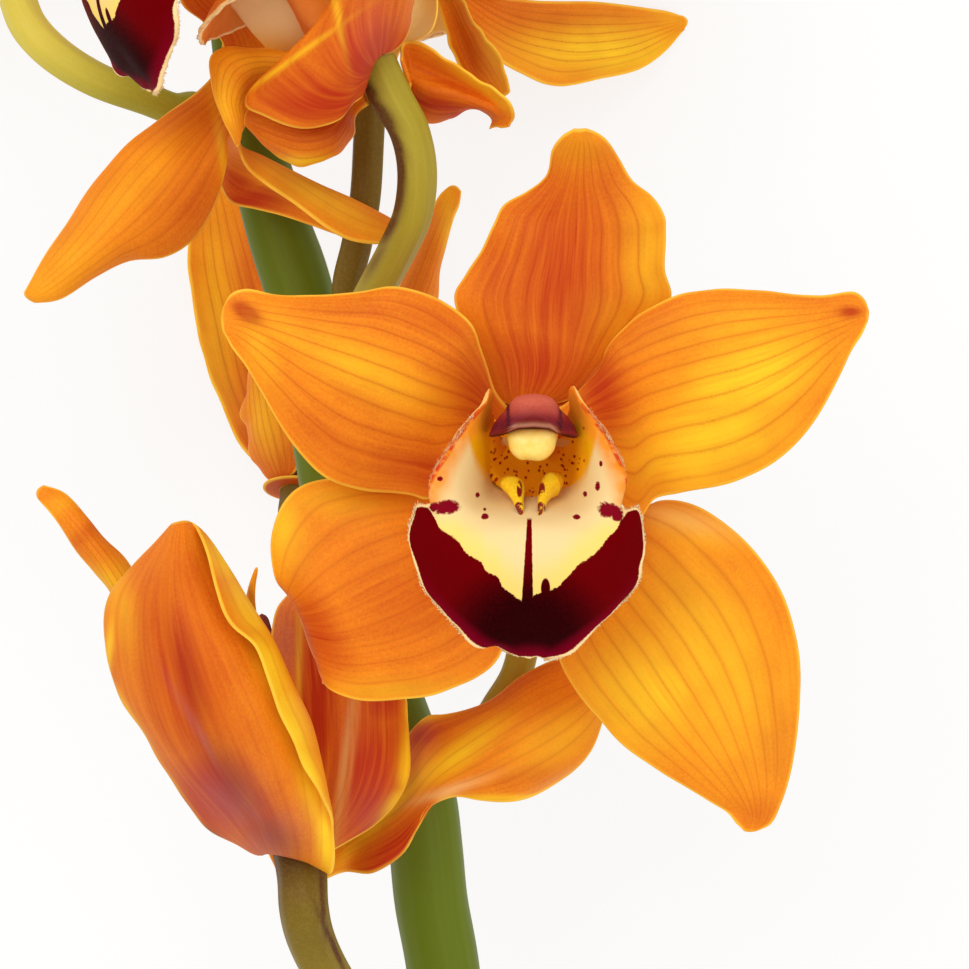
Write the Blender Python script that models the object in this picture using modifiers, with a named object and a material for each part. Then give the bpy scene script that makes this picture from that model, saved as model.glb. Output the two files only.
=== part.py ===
# A cut cymbidium orchid spray that lies on a surface: an arching stem, seven open blooms and two buds.
# The spray lies along Y with its cut end at -Y, and the main bloom faces up.
# Lengths are in millimetres until a mesh or a curve is filled, which is in metres.

import math

import bmesh
import bpy
import numpy as np

# Driving dimensions
MM = 0.001
BLOOM_WIDTH = 90.0          # across the petals of the main bloom
BLOOM_WIDTH_POINTS = 646.0  # the same width in the view's own points
VIEW_POINTS = 969.0         # the view is a square of this many points
VIEW_DISTANCE = 700.0       # from the eye down to the main bloom's plane
MAIN_HEIGHT = 107.0         # height of the main bloom's plane over the surface
BLADE = 0.8                 # thickness of sepals and petals
LIP_BLADE = 0.9             # the lip is a little thicker
CLEARANCE = 0.35            # gap kept between pieces that touch
STEM_RADIUS = 5.5
BRANCH_LEAN = math.radians(35)  # how far a pedicel leans from square to the stem
RING_STEP = 4.5             # between a pedicel's rings
ROOT_HALF_WIDTH = 2.2       # of a blade where it sits on the ovary
TIP_WIDTH = 2.0
TIP_SHARE = 0.985           # a blade ends just short of where its edges meet
HUB_RADIUS = 3.0            # top of the ovary, where the floral pieces sit
SEPAL_LEVEL = -1.3          # sepals sit lower on the ovary than the petals
PETAL_LEVEL = 1.0
REST_LEVEL = 0.4            # middle of a blade that lies on the surface
REST_SOFTNESS = 1.6         # how gently a blade turns along the surface
ROOT_REACH = HUB_RADIUS + CLEARANCE + BLADE / 2  # from the ovary's axis to a blade's root
POINT = BLOOM_WIDTH / BLOOM_WIDTH_POINTS

# Colours, linear
ORANGE = (0.80, 0.24, 0.02, 1.0)
CREAM = (0.92, 0.74, 0.36, 1.0)
DUSTY_RED = (0.36, 0.08, 0.06, 1.0)
STEM_GREEN = (0.10, 0.20, 0.02, 1.0)
OLIVE = (0.32, 0.30, 0.04, 1.0)
BUD_GREEN = (0.42, 0.34, 0.06, 1.0)


# Places and curves

def seen(column, row, height):
    """Real place of a point of the view, given its height over the main bloom's plane."""
    middle = VIEW_POINTS / 2.0
    nearer = 1.0 - height / VIEW_DISTANCE
    x = (column - middle) * POINT * nearer
    y = (middle - row) * POINT * nearer
    return np.array([x, y, MAIN_HEIGHT + height])


def unit(vector):
    vector = np.asarray(vector, dtype=float)
    return vector / np.linalg.norm(vector)


def hermite(points, tangents, where):
    """Smooth values at the places where (0 to the last index) through points with the given tangents."""
    last = len(points) - 1
    start = np.clip(np.floor(where).astype(int), 0, last - 1)
    f = (where - start).reshape((-1,) + (1,) * (points.ndim - 1))
    p0, p1 = points[start], points[start + 1]
    m0, m1 = tangents[start], tangents[start + 1]
    return ((2 * f**3 - 3 * f**2 + 1) * p0 + (f**3 - 2 * f**2 + f) * m0
            + (3 * f**2 - 2 * f**3) * p1 + (f**3 - f**2) * m1)


def even_tangents(points):
    """Tangents for evenly numbered points, exact for a parabola at the ends."""
    tangents = np.gradient(points, axis=0)
    if len(points) > 2:
        tangents[0] = (-3 * points[0] + 4 * points[1] - points[2]) / 2
        tangents[-1] = (3 * points[-1] - 4 * points[-2] + points[-3]) / 2
    return tangents


def smooth_curve(points, places):
    """Points at the given shares of the length of a smooth curve through the given points."""
    points = np.array(points, dtype=float)
    steps = np.linalg.norm(np.diff(points, axis=0), axis=1)
    knots = np.concatenate([[0.0], np.cumsum(np.sqrt(steps))])
    slopes = np.gradient(points, knots, axis=0)
    dense = []
    for i in range(len(points) - 1):
        width = knots[i + 1] - knots[i]
        pair = points[i:i + 2]
        dense.append(hermite(pair, slopes[i:i + 2] * width, np.linspace(0.0, 0.99, 12)))
    dense = np.vstack(dense + [points[-1:]])
    length = np.concatenate([[0.0], np.cumsum(np.linalg.norm(np.diff(dense, axis=0), axis=1))])
    wanted = np.asarray(places) * length[-1]
    return np.stack([np.interp(wanted, length, dense[:, k]) for k in range(3)], axis=1)


def rest(points):
    """Bends what would sink below the surface so that it lies along it."""
    points = points.copy()
    over = (points[:, 2] - REST_LEVEL) / REST_SOFTNESS
    points[:, 2] = REST_LEVEL + REST_SOFTNESS * np.logaddexp(0.0, over)
    return points


# A bloom's own frame: side, up (towards the dorsal sepal) and facing

class Bloom:
    def __init__(self, name, hub, facing, up, lip=1.0, column=1.0):
        self.name = name
        self.hub = np.asarray(hub, dtype=float)
        self.facing = unit(facing)
        self.side = unit(np.cross(up, self.facing))
        self.up = np.cross(self.facing, self.side)
        self.lip = lip          # size of the lip against the main bloom's
        self.column = column    # length of the column against the main bloom's

    def place(self, points):
        """From side, up and facing distances to the real place."""
        points = np.asarray(points, dtype=float)
        return self.hub + points @ np.stack([self.side, self.up, self.facing])

    def root(self, angle, level):
        """Where a blade sits on the ovary, and the direction straight out from there."""
        turn = math.radians(angle)
        out = self.side * math.cos(turn) + self.up * math.sin(turn)
        return self.hub + out * ROOT_REACH + self.facing * level, out


# Surfaces: each returns a function of two arrays, t along the blade and s across it, both 0 to 1

def straight_where_narrow(row):
    """A row near a blade's tip is drawn straight and no narrower than the tip's width."""
    chord = row[-1] - row[0]
    length = np.linalg.norm(chord)
    arc = np.linalg.norm(np.diff(row, axis=0), axis=1).sum()
    spread = np.linspace(-0.5, 0.5, len(row))[:, None] * chord / length * max(length, TIP_WIDTH)
    share = np.clip(2.0 - arc / TIP_WIDTH, 0.0, 1.0)
    return row * (1 - share) + (row.mean(axis=0) + spread) * share


def railed(rails, wave=0.0, waves=3.0, phase=0.0):
    """A blade through rails that run from its root to its tip, with a wavy margin."""
    def surface(t, s):
        rows, row_of = np.unique(t * TIP_SHARE, return_inverse=True)
        lines = np.stack([smooth_curve(rail, rows) for rail in rails])
        for row in range(len(rows)):
            lines[:, row] = straight_where_narrow(lines[:, row])
        across = s * (len(rails) - 1)
        tangents = even_tangents(lines)
        points = np.empty((len(t), 3))
        for row in range(len(rows)):
            here = row_of == row
            points[here] = hermite(lines[:, row], tangents[:, row], across[here])
        edge = np.abs(2 * s - 1) ** 3
        points[:, 2] += wave * edge * np.sin(2 * math.pi * waves * t + phase) * np.sin(math.pi * t)
        return points
    return surface


def arched(bloom, angle, level, length, width, opening, closing, cup, half_root=2.0, wave=0.7, phase=0.0):
    """A blade that leaves the ovary at an opening angle to the facing axis and ends at a closing angle."""
    turn = math.radians(angle)
    out = np.array([math.cos(turn), math.sin(turn), 0.0])
    along = np.array([math.sin(turn), -math.cos(turn), 0.0])
    face = np.array([0.0, 0.0, 1.0])

    def surface(t, s):
        steps = np.linspace(0.0, 1.0, 60)
        lean = np.radians(opening + (closing - opening) * steps)
        outward = np.concatenate([[0.0], np.cumsum(np.sin(lean[:-1]))]) * length / 59
        forward = np.concatenate([[0.0], np.cumsum(np.cos(lean[:-1]))]) * length / 59
        half = half_root * (1 - t) + width / 2 * np.sin(math.pi * t ** 0.8) ** 0.85 + 0.5 * t
        bend = np.radians(opening + (closing - opening) * t)
        share = 2 * s - 1
        reach = ROOT_REACH + np.interp(t, steps, outward)
        height = level + np.interp(t, steps, forward)
        sag = cup * (share ** 2) * np.sin(math.pi * t ** 0.8)
        sag = sag + wave * np.abs(share) ** 3 * np.sin(6 * math.pi * t + phase) * np.sin(math.pi * t)
        local = (np.outer(reach - sag * np.cos(bend), out) + np.outer(half * share, along)
                 + np.outer(height + sag * np.sin(bend), face))
        return bloom.place(local)
    return surface


# Objects

def material(name, colour, roughness):
    mat = bpy.data.materials.new(name)
    mat.use_nodes = True
    shader = mat.node_tree.nodes["Principled BSDF"]
    shader.inputs["Base Color"].default_value = colour
    shader.inputs["Roughness"].default_value = roughness
    shader.inputs["Metallic"].default_value = 0.0
    return mat


def add_object(name, data, colour, roughness, parent, collection):
    data.materials.append(material(name, colour, roughness))
    obj = bpy.data.objects.new(name, data)
    obj.parent = parent
    collection.objects.link(obj)
    return obj


def blade(name, surface, rows, columns, thickness, colour, parent, collection):
    """A thin blade: a grid laid on a surface, split into triangles and given its thickness."""
    bm = bmesh.new()
    bmesh.ops.create_grid(bm, x_segments=columns, y_segments=rows, size=0.5)
    flat = np.array([v.co[:] for v in bm.verts])
    places = rest(surface(flat[:, 1] + 0.5, flat[:, 0] + 0.5)) * MM
    for vertex, place in zip(bm.verts, places):
        vertex.co = place
    bmesh.ops.triangulate(bm, faces=bm.faces[:], quad_method="ALTERNATE")
    mesh = bpy.data.meshes.new(name)
    bm.to_mesh(mesh)
    bm.free()
    mesh.shade_smooth()
    obj = add_object(name, mesh, colour, 0.45, parent, collection)
    wall = obj.modifiers.new("thickness", "SOLIDIFY")
    wall.thickness = thickness * MM
    wall.offset = 0.0
    return obj


def tube(name, route, radii, count, sides, colour, parent, collection):
    """A tapering tube along a smooth route; radii are (share of the length, radius)."""
    shares = np.concatenate([[0.0, 0.025], np.linspace(0.075, 1.0, count - 2)])
    points = smooth_curve(route, shares) * MM
    widths = np.interp(shares, [r[0] for r in radii], [r[1] for r in radii])
    curve = bpy.data.curves.new(name, "CURVE")
    curve.dimensions = "3D"
    curve.use_fill_caps = True
    curve.bevel_depth = MM
    curve.bevel_resolution = (sides - 4) // 2
    curve.render_resolution_u = 0
    spline = curve.splines.new("POLY")
    spline.points.add(count - 1)
    for point, place, width in zip(spline.points, points, widths):
        point.co = (*place, 1.0)
        point.radius = width
    return add_object(name, curve, colour, 0.5, parent, collection)


# The lip, the column and their places in a bloom's own frame

MAIN_HUB = (530, 432, -8.0)


def main_own(column, row, height):
    """A point of the view in the main bloom's own frame."""
    return seen(column, row, height) - seen(*MAIN_HUB)


# Five rails of the lip from its root to the tip of its middle lobe, as (column, row, height)
LIP_EDGE_LEFT = [(514, 456, -6.8), (502, 440, -2), (491, 410, 5), (490, 391, 10), (478, 408, 13), (462, 430, 14),
                 (446, 452, 14.5), (433, 474, 15), (430, 490, 14.5), (433, 506, 13.5), (419, 510, 13),
                 (409, 530, 13), (413, 550, 13), (420, 578, 12.5), (437, 606, 11.5), (458, 630, 10.5),
                 (483, 644, 9.5), (505, 652, 8.5), (520, 657, 8)]
LIP_FOLD_LEFT = [(522, 457, -6.8), (508, 462, -4), (495, 474, 0), (484, 487, 5), (474, 500, 10), (466, 516, 15),
                 (455, 540, 17), (458, 570, 16.5), (474, 602, 14.5), (496, 630, 12), (514, 649, 9), (525, 658, 8)]
LIP_MIDDLE = [(530, 457, -6.8), (530, 470, -4), (530, 486, 0), (530, 501, 6), (530, 516, 13), (530, 532, 17.5),
              (530, 560, 18.5), (530, 595, 16.5), (530, 630, 12), (530, 650, 9), (530, 659, 8)]
LIP_FOLD_RIGHT = [(538, 457, -6.8), (552, 462, -4), (566, 474, 0), (576, 487, 5), (584, 500, 10), (592, 516, 15),
                  (603, 540, 17), (600, 570, 16.5), (585, 602, 14.5), (564, 630, 12), (546, 649, 9), (535, 658, 8)]
LIP_EDGE_RIGHT = [(546, 456, -6.8), (559, 438, -2), (570, 407, 5), (573, 388, 10), (586, 406, 13), (600, 425, 14),
                  (614, 446, 14.5), (625, 466, 15), (622, 484, 14.5), (620, 502, 13.8), (629, 514, 13.2),
                  (641, 530, 13), (639, 550, 13), (639, 574, 12.5), (625, 602, 11.5), (598, 630, 10.5),
                  (580, 648, 9.5), (560, 658, 8.5), (542, 660, 8)]
LIP_RAILS = (LIP_EDGE_LEFT, LIP_FOLD_LEFT, LIP_MIDDLE, LIP_FOLD_RIGHT, LIP_EDGE_RIGHT)

# The column's sections: share of its length, up, facing, half width and half height
COLUMN_SECTIONS = ((0.0, 0.2, 1.8, 2.3, 2.1), (0.35, 1.4, 8.5, 2.7, 2.4), (0.6, 1.8, 14.0, 4.6, 3.2),
                   (0.8, 1.2, 18.5, 5.2, 4.2), (1.0, 0.6, 22.5, 3.6, 4.0))


def lip_surface(bloom):
    """The main bloom's lip, drawn in towards its root for a smaller bloom."""
    root = main_own(*LIP_MIDDLE[0])
    rails = [bloom.place([root + (main_own(*point) - root) * bloom.lip for point in rail]) for rail in LIP_RAILS]
    return railed(rails, wave=0.3, waves=4.5)


def column_object(bloom, parent, collection):
    """A ball drawn out along the column, so that both of its ends are round."""
    name = bloom.name + "_column"
    bm = bmesh.new()
    bmesh.ops.create_uvsphere(bm, u_segments=12, v_segments=9, radius=1.0)
    ball = np.array([v.co[:] for v in bm.verts])
    share = np.arccos(np.clip(-ball[:, 2], -1, 1)) / math.pi
    ring = np.hypot(ball[:, 0], ball[:, 1])
    full = np.clip(ring, 0.0, 1.0) ** 0.45 / np.maximum(ring, 1e-6)
    sections = np.array(COLUMN_SECTIONS)
    up, face, wide, high = (np.interp(share, sections[:, 0], sections[:, k]) for k in range(1, 5))
    root = COLUMN_SECTIONS[0][2]
    face = root + (face - root) * bloom.column
    own = np.stack([ball[:, 0] * full * wide, up + ball[:, 1] * full * high, face / bloom.lip], axis=1)
    own *= bloom.lip
    for vertex, place in zip(bm.verts, bloom.place(own) * MM):
        vertex.co = place
    mesh = bpy.data.meshes.new(name)
    bm.to_mesh(mesh)
    bm.free()
    mesh.shade_smooth()
    return add_object(name, mesh, DUSTY_RED, 0.4, parent, collection)


# The blooms: hub in the view, facing and up directions

BLOOMS = {
    "main": Bloom("main", seen(*MAIN_HUB), (0, 0, 1), (0, 1, 0)),
    "lower_left": Bloom("lower_left", seen(299, 856, -30), (-0.16, 0.93, -0.35), (0.2, 0, 0.98), 0.65, 1.72),
    "upper": Bloom("upper", seen(378, 72, -13), (-0.3, 0.93, -0.15), (0.93, 0.3, -0.1), 0.7, 0.8),
    "back": Bloom("back", seen(300, 478, -72), (0.05, 0.93, -0.35), (-0.9, -0.1, 0.45), 0.55, 0.8),
    "top_right": Bloom("top_right", seen(432, -45, -72), (0.3, 0.35, -0.88), (0.87, 0.5, 0.49), 0.75, 0.8),
    "top_left": Bloom("top_left", seen(-40, -170, -60), (-0.55, 0.6, -0.5), (0.6, 0.6, 0.2), 0.85, 0.9),
    "top": Bloom("top", seen(280, -102, -12), (-0.85, 0.1, 0.5), (0.15, 1, 0.1), 0.95, 0.95),
}

# Where a blade sits on the ovary, in degrees round the facing axis from the side direction
ROOT_ANGLES = {
    "main_sepal_left": 215, "main_sepal_right": 325, "main_dorsal_sepal": 90,
    "main_petal_left": 165, "main_petal_right": 15,
    "upper_petal_left": 355, "upper_sepal_left": 305, "upper_sepal_right": 222,
    "upper_dorsal_sepal": 80, "upper_petal_right": 168,
    "back_petal_left": 33, "back_petal_right": 228,
    "top_sepal_left": 205, "top_sepal_right": 300,
    "top_right_petal_left": 155, "top_right_sepal_left": 215,
}

# Blades drawn by hand: rails from root to tip as (column, row, height), side by side across the blade
RAILS = {
    "main_dorsal_sepal": (
        [(496, 398, -9.3), (478, 360, -9), (457, 310, -9), (455, 293, -9), (465, 276, -9), (481, 252, -9), (493, 226, -8),
         (503, 206, -8), (526, 193, -7), (546, 176, -6), (552, 150, -3), (563, 135, 0), (574, 129, 1)],
        [(543, 393, -8.5), (556, 370, -7.5), (560, 330, -6.5), (566, 270, -6), (571, 215, -6), (577, 165, -3), (580, 140, 0),
         (580, 129, 1)],
        [(572, 398, -9.3), (601, 369, -9), (634, 337, -9), (671, 299, -9), (665, 270, -9), (666, 235, -9), (665, 217, -8),
         (652, 197, -8), (632, 180, -7), (619, 158, -5), (605, 138, -1), (594, 131, 0), (586, 129, 1)]),
    "main_petal_right": (
        [(566, 404, -6), (583, 388, -5), (600, 370, -4), (607, 350, -3), (635, 318, -1), (671, 299, 0), (712, 289, 0),
         (770, 292, 0.5), (820, 296, 1.5), (855, 292, 2), (865, 300, 2), (869, 311, 2)],
        [(600, 400, -3), (650, 375, 0), (700, 360, 1.5), (760, 345, 2), (810, 330, 2), (850, 319, 2), (869, 315, 2)],
        [(596, 470, -5), (638, 518, -5), (655, 499, -4), (680, 493, -3), (740, 480, -2), (780, 458, -1),
         (815, 420, 0), (840, 375, 1), (852, 350, 1.5), (862, 335, 2), (868, 321, 2)]),
    "main_petal_left": (
        [(480, 455, -5), (430, 499, -5), (410, 495, -4), (362, 490, -3), (322, 475, -1), (290, 440, 0),
         (260, 390, 0), (245, 365, 1), (232, 348, 1.5), (223, 331, 2)],
        [(470, 400, -3), (430, 385, 0), (380, 365, 1.5), (320, 345, 2), (270, 328, 2), (240, 319, 2), (221, 320, 2)],
        [(509, 409, -6), (496, 392, -4.5), (483, 355, -3), (470, 323, -1), (440, 300, 0), (392, 287, 0),
         (340, 294, 0), (275, 295, 1), (245, 289, 2), (231, 294, 2), (223, 307, 2)]),
    "main_sepal_right": (
        [(590, 470, -9), (630, 516, -9), (660, 501, -9), (690, 504, -9), (725, 523, -9), (760, 558, -8),
         (785, 600, -8), (798, 645, -7), (800, 700, -7), (792, 765, -7), (780, 806, -6), (771, 824, -6),
         (757, 831, -6)],
        [(580, 520, -8), (620, 590, -6), (665, 650, -5), (705, 715, -5), (735, 770, -5), (752, 812, -6),
         (750, 832, -6)],
        [(545, 560, -9), (560, 660, -9), (600, 720, -9), (620, 742, -8), (660, 771, -8), (705, 798, -7),
         (727, 812, -7), (735, 822, -6), (744, 831, -6)]),
    "main_sepal_left": (
        [(510, 560, -9), (500, 655, -9), (478, 677, -9), (440, 693, -9), (400, 699, -9), (360, 700, -9),
         (335, 692, -9), (323, 680, -11), (330, 664, -14)],
        [(470, 540, -8), (420, 575, -6), (370, 600, -6), (325, 618, -7), (303, 618, -10), (312, 617, -13.5)],
        [(480, 460, -9), (400, 478, -9), (330, 478, -9), (300, 486, -9), (280, 510, -9), (271, 543, -9),
         (275, 575, -9), (284, 589, -11), (297, 584, -13.5)]),
    "lower_left_petal_left": (
        [(262, 855, -27), (235, 843, -25), (205, 825, -22), (185, 800, -19), (165, 770, -17), (140, 730, -15),
         (118, 690, -14), (106, 650, -13), (104, 622, -13), (113, 590, -13), (132, 567, -13), (155, 543, -12),
         (172, 524, -11)],
        [(272, 852, -25), (245, 815, -15), (210, 775, -8), (180, 715, -4), (165, 650, -3), (162, 600, -4),
         (168, 560, -7), (178, 522, -10)],
        [(300, 858, -23), (285, 800, -12), (260, 730, -5), (232, 665, -2), (205, 605, -3), (190, 560, -6),
         (184, 521, -10)],
        [(322, 862, -23.5), (324, 825, -18), (318, 775, -14), (308, 725, -12), (290, 683, -9), (270, 640, -8),
         (245, 600, -8), (225, 567, -10), (203, 535, -11), (190, 522, -11)],
        [(336, 866, -24), (334, 830, -18), (320, 795, -10.5), (300, 760, -6), (285, 725, -3.5), (270, 685, -1.5),
         (255, 648, 0), (232, 625, 0.5), (217, 590, -1), (208, 555, -5), (197, 527, -9.5)]),
    "lower_left_sepal_left": (
        [(258, 835, -32), (205, 775, -30), (160, 700, -29), (125, 630, -29), (110, 590, -29), (95, 572, -29),
         (78, 553, -29), (60, 525, -29), (48, 510, -29), (39, 499, -30)],
        [(262, 818, -30.5), (205, 735, -27), (155, 655, -26), (118, 580, -26), (85, 535, -27), (55, 502, -29),
         (37, 491, -30)],
        [(268, 800, -31), (215, 715, -29), (160, 635, -29), (131, 567, -29), (105, 540, -29), (88, 519, -29),
         (64, 493, -30), (44, 485, -30)]),
    "lower_left_petal_right": (
        [(306, 818, -28.5), (299, 785, -26.5), (286, 715, -27), (277, 665, -28), (272, 635, -28), (277, 608, -28),
         (293, 590, -29), (310, 575, -30)],
        [(326, 830, -28), (345, 780, -25), (350, 710, -24), (345, 650, -24), (335, 600, -26), (325, 575, -29)],
        [(347, 842, -30), (378, 822, -31), (402, 793, -30), (411, 760, -30), (408, 728, -30), (404, 690, -29),
         (385, 640, -29), (360, 595, -29), (340, 575, -30)]),
    "lower_left_dorsal_sepal": (
        [(350, 825, -40), (388, 775, -40), (412, 732, -37), (428, 716, -33), (445, 715, -31), (480, 706, -29),
         (520, 677, -28), (555, 660, -28), (590, 655, -29)],
        [(350, 850, -37), (400, 820, -34), (440, 778, -29), (480, 750, -25), (540, 712, -24), (580, 690, -26),
         (602, 674, -29)],
        [(345, 872, -36), (372, 873, -34), (402, 855, -33), (417, 830, -31), (430, 806, -29.5), (452, 796, -28),
         (480, 800, -27), (520, 800, -26), (565, 778, -27), (590, 752, -28), (601, 725, -29), (608, 697, -30)]),
    "upper_petal_left": (
        [(362, 96, -9), (352, 104, -8), (340, 119, -8), (322, 126, -8), (303, 128, -8), (283, 124, -8),
         (262, 115, -9), (246, 106, -10), (249, 92, -10), (262, 80, -9), (288, 66, -7), (310, 48, -6),
         (327, 30, -5), (336, 5, -5), (340, -40, -5), (348, -90, -7), (362, -128, -9)],
        [(372, 60, -6), (366, 40, -2), (364, 10, -1), (368, -30, 0), (372, -85, -3), (374, -132, -8)],
        [(388, 52, -9), (403, 42, -9), (410, 20, -8), (414, -15, -8), (413, -60, -8), (403, -100, -8),
         (386, -128, -9)]),
    "upper_sepal_left": (
        [(344, 102, -15), (320, 92, -18), (290, 85, -19), (262, 92, -17), (249, 101, -15), (244, 113, -13),
         (242, 128, -12), (240, 140, -12.5)],
        [(344, 93, -13), (312, 72, -13.5), (272, 66, -14), (240, 76, -11), (230, 100, -9.5), (234, 120, -10),
         (237, 134, -11.5), (238, 146, -13)],
        [(344, 84, -14), (316, 60, -15), (285, 51, -15), (250, 48, -15), (224, 47, -13), (212, 56, -12),
         (211, 76, -11), (215, 98, -10), (222, 116, -10), (229, 131, -11),
         (236, 144, -13)]),
    "upper_sepal_right": (
        [(350, 88, -19), (326, 88, -21.5), (295, 92, -21.5), (262, 102, -21), (246, 114, -20)],
        [(350, 103, -17.5), (330, 128, -15), (305, 134, -14.5), (270, 126, -16), (244, 119, -19)],
        [(355, 118, -19), (354, 134, -19), (343, 149, -19), (322, 161, -19), (304, 165, -19), (283, 159, -19),
         (262, 143, -19), (246, 125, -20)]),
    "upper_dorsal_sepal": (
        [(404, 42, -14), (420, 42, -13), (440, 55, -12), (460, 68, -11), (480, 80, -11),
         (497, 91, -10), (510, 103, -10.5), (514, 116, -12), (510, 126, -14)],
        [(408, 64, -16), (430, 72, -16), (460, 84, -15), (485, 96, -14), (500, 107, -13), (506, 119, -14),
         (503, 128, -15)],
        [(410, 80, -16), (425, 91, -15), (447, 96, -14), (470, 101, -13), (490, 109, -13), (499, 118, -14.5),
         (497, 127, -16)],
        [(409, 98, -18), (415, 112, -21), (430, 123, -22.5), (450, 117, -21), (470, 107, -18), (486, 113, -16.5),
         (492, 120, -17), (490, 129, -18.5)]),
    "upper_petal_right": (
        [(388, 40, -19), (402, 10, -19), (404, -40, -20), (390, -100, -22), (372, -150, -24), (360, -182, -26)],
        [(395, 42, -21), (418, 5, -23), (420, -45, -25), (405, -110, -26), (385, -160, -27), (368, -194, -27)],
        [(402, 48, -20), (432, 30, -19), (436, -5, -19), (432, -60, -20), (414, -120, -22), (394, -160, -24),
         (380, -184, -26)]),
    "back_petal_left": (
        [(274, 471, -76), (255, 461, -78), (238, 441, -81), (222, 405, -86), (205, 360, -92), (194, 310, -99),
         (188, 260, -105), (193, 215, -109), (204, 182, -109)],
        [(281, 462, -79), (264, 425, -86), (250, 380, -94), (238, 320, -101), (225, 260, -107), (218, 210, -110),
         (214, 178, -110)],
        [(288, 455, -82), (291, 400, -90), (285, 340, -97), (272, 285, -102), (254, 230, -106), (238, 195, -109),
         (224, 180, -109)]),
    "back_petal_right": (
        [(322, 444, -70), (350, 400, -70), (377, 335, -74), (400, 285, -79), (417, 245, -83), (430, 213, -87),
         (440, 195, -89), (448, 188, -90)],
        [(331, 454, -68), (365, 405, -65), (397, 345, -70), (420, 290, -77), (438, 240, -82), (450, 205, -88),
         (455, 186, -90)],
        [(340, 466, -69), (381, 425, -68), (418, 365, -73), (436, 310, -79), (442, 260, -83), (452, 222, -86),
         (459, 205, -89), (461, 192, -90)]),
    "top_right_petal_left": (
        [(458, -30, -76), (490, -8, -80), (530, 0, -87), (600, 2, -96), (640, 7, -101), (668, 12, -105),
         (682, 17, -108)],
        [(452, -14, -79), (500, 25, -84), (560, 42, -91), (620, 40, -99), (665, 29, -106), (687, 23, -109)],
        [(444, 0, -77), (480, 45, -80), (520, 73, -85), (557, 86, -90), (600, 79, -96), (640, 69, -101),
         (666, 51, -105), (683, 31, -108)]),
    "top_right_sepal_left": (
        [(462, 0, -65), (472, 18, -64), (486, 38, -64), (499, 54, -64), (506, 75, -65), (510, 92, -66)],
        [(450, 2, -69), (462, 30, -70), (475, 58, -70), (490, 80, -68), (503, 97, -67)],
        [(438, 5, -68), (445, 30, -69), (454, 54, -69), (466, 76, -69), (480, 90, -68), (494, 98, -67)]),
    "top_sepal_left": (
        [(180, -40, -24), (181, 3, -26), (203, 22, -27), (222, 42, -28), (222, 62, -28), (206, 83, -27),
         (160, 120, -25), (128, 144, -23), (98, 177, -21), (70, 220, -20), (45, 256, -19), (30, 283, -18),
         (25, 292, -18)],
        [(200, -45, -24), (208, -5, -26), (232, 18, -27), (246, 45, -28), (242, 75, -28), (220, 108, -26),
         (180, 150, -20), (145, 190, -17), (105, 235, -15), (65, 272, -16), (38, 292, -17), (26, 297, -18)],
        [(220, -45, -24), (226, 0, -26), (253, 28, -27), (268, 55, -28), (261, 92, -28.5), (240, 122, -28),
         (228, 137, -27), (225, 165, -25), (213, 208, -24), (190, 243, -23), (165, 257, -21), (130, 260, -20),
         (95, 277, -19), (60, 299, -18), (35, 303, -18)]),
    "top_sepal_right": (
        [(298, -60, -19), (316, -25, -29), (318, 0, -32), (296, 50, -33), (266, 95, -32), (247, 124, -29),
         (239, 144, -25.5), (246, 166, -23), (266, 184, -22.5), (294, 203, -23), (328, 229, -23), (350, 240, -24),
         (378, 244, -25), (396, 241, -26)],
        [(284, -60, -20), (282, -25, -31), (276, 0, -34), (258, 50, -35.5), (240, 100, -36), (230, 130, -33),
         (236, 151, -30), (260, 160, -29.5), (290, 173, -29), (320, 187, -29), (350, 200, -29), (376, 213, -28.5),
         (392, 222, -28), (403, 234, -28)],
        [(268, -62, -21), (244, -30, -31), (230, 0, -33), (222, 50, -35), (216, 100, -36), (213, 140, -36),
         (218, 175, -35), (230, 202, -34.5), (255, 209, -34), (280, 215, -33.5), (310, 225, -32.5),
         (335, 234, -32), (362, 240, -31), (392, 243, -30)]),
}

# Blades that a curve gives: angle, level, length, width, opening, closing and cup
ARCHES = {
    "lower_left_sepal_right": (264, SEPAL_LEVEL, 24, 13, 80, 44, 2),
    "back_dorsal_sepal": (112, SEPAL_LEVEL, 20, 10, 35, 5, 2),
    "back_sepal_left": (328, SEPAL_LEVEL, 46, 10, 84, 50, 2, 1.2),
    "back_sepal_right": (268, SEPAL_LEVEL, 34, 10, 72, 55, 2, 1.2),
    "top_right_dorsal_sepal": (90, SEPAL_LEVEL, 46, 26, 85, 55, 3),
    "top_right_petal_right": (30, PETAL_LEVEL, 44, 26, 72, 40, 3),
    "top_right_sepal_right": (325, SEPAL_LEVEL, 46, 24, 85, 60, 3),
    "top_left_dorsal_sepal": (90, SEPAL_LEVEL, 44, 26, 68, 50, 4),
    "top_left_petal_left": (151, PETAL_LEVEL, 44, 25, 55, 35, 4),
    "top_left_petal_right": (29, PETAL_LEVEL, 44, 25, 55, 35, 4),
    "top_left_sepal_left": (213, SEPAL_LEVEL, 48, 24, 65, 45, 4),
    "top_left_sepal_right": (327, SEPAL_LEVEL, 48, 24, 65, 45, 4),
    "top_dorsal_sepal": (90, SEPAL_LEVEL, 44, 28, 75, 65, 3),
    "top_petal_left": (148, PETAL_LEVEL, 44, 26, 75, 60, 3),
    "top_petal_right": (32, PETAL_LEVEL, 44, 26, 75, 60, 3),
}
LONG_BLADES = ("top_sepal_right", "lower_left_petal_left")  # folded or rolled, so they take more rows
BLADE_NAMES = ("dorsal_sepal", "sepal_left", "sepal_right", "petal_left", "petal_right")

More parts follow.
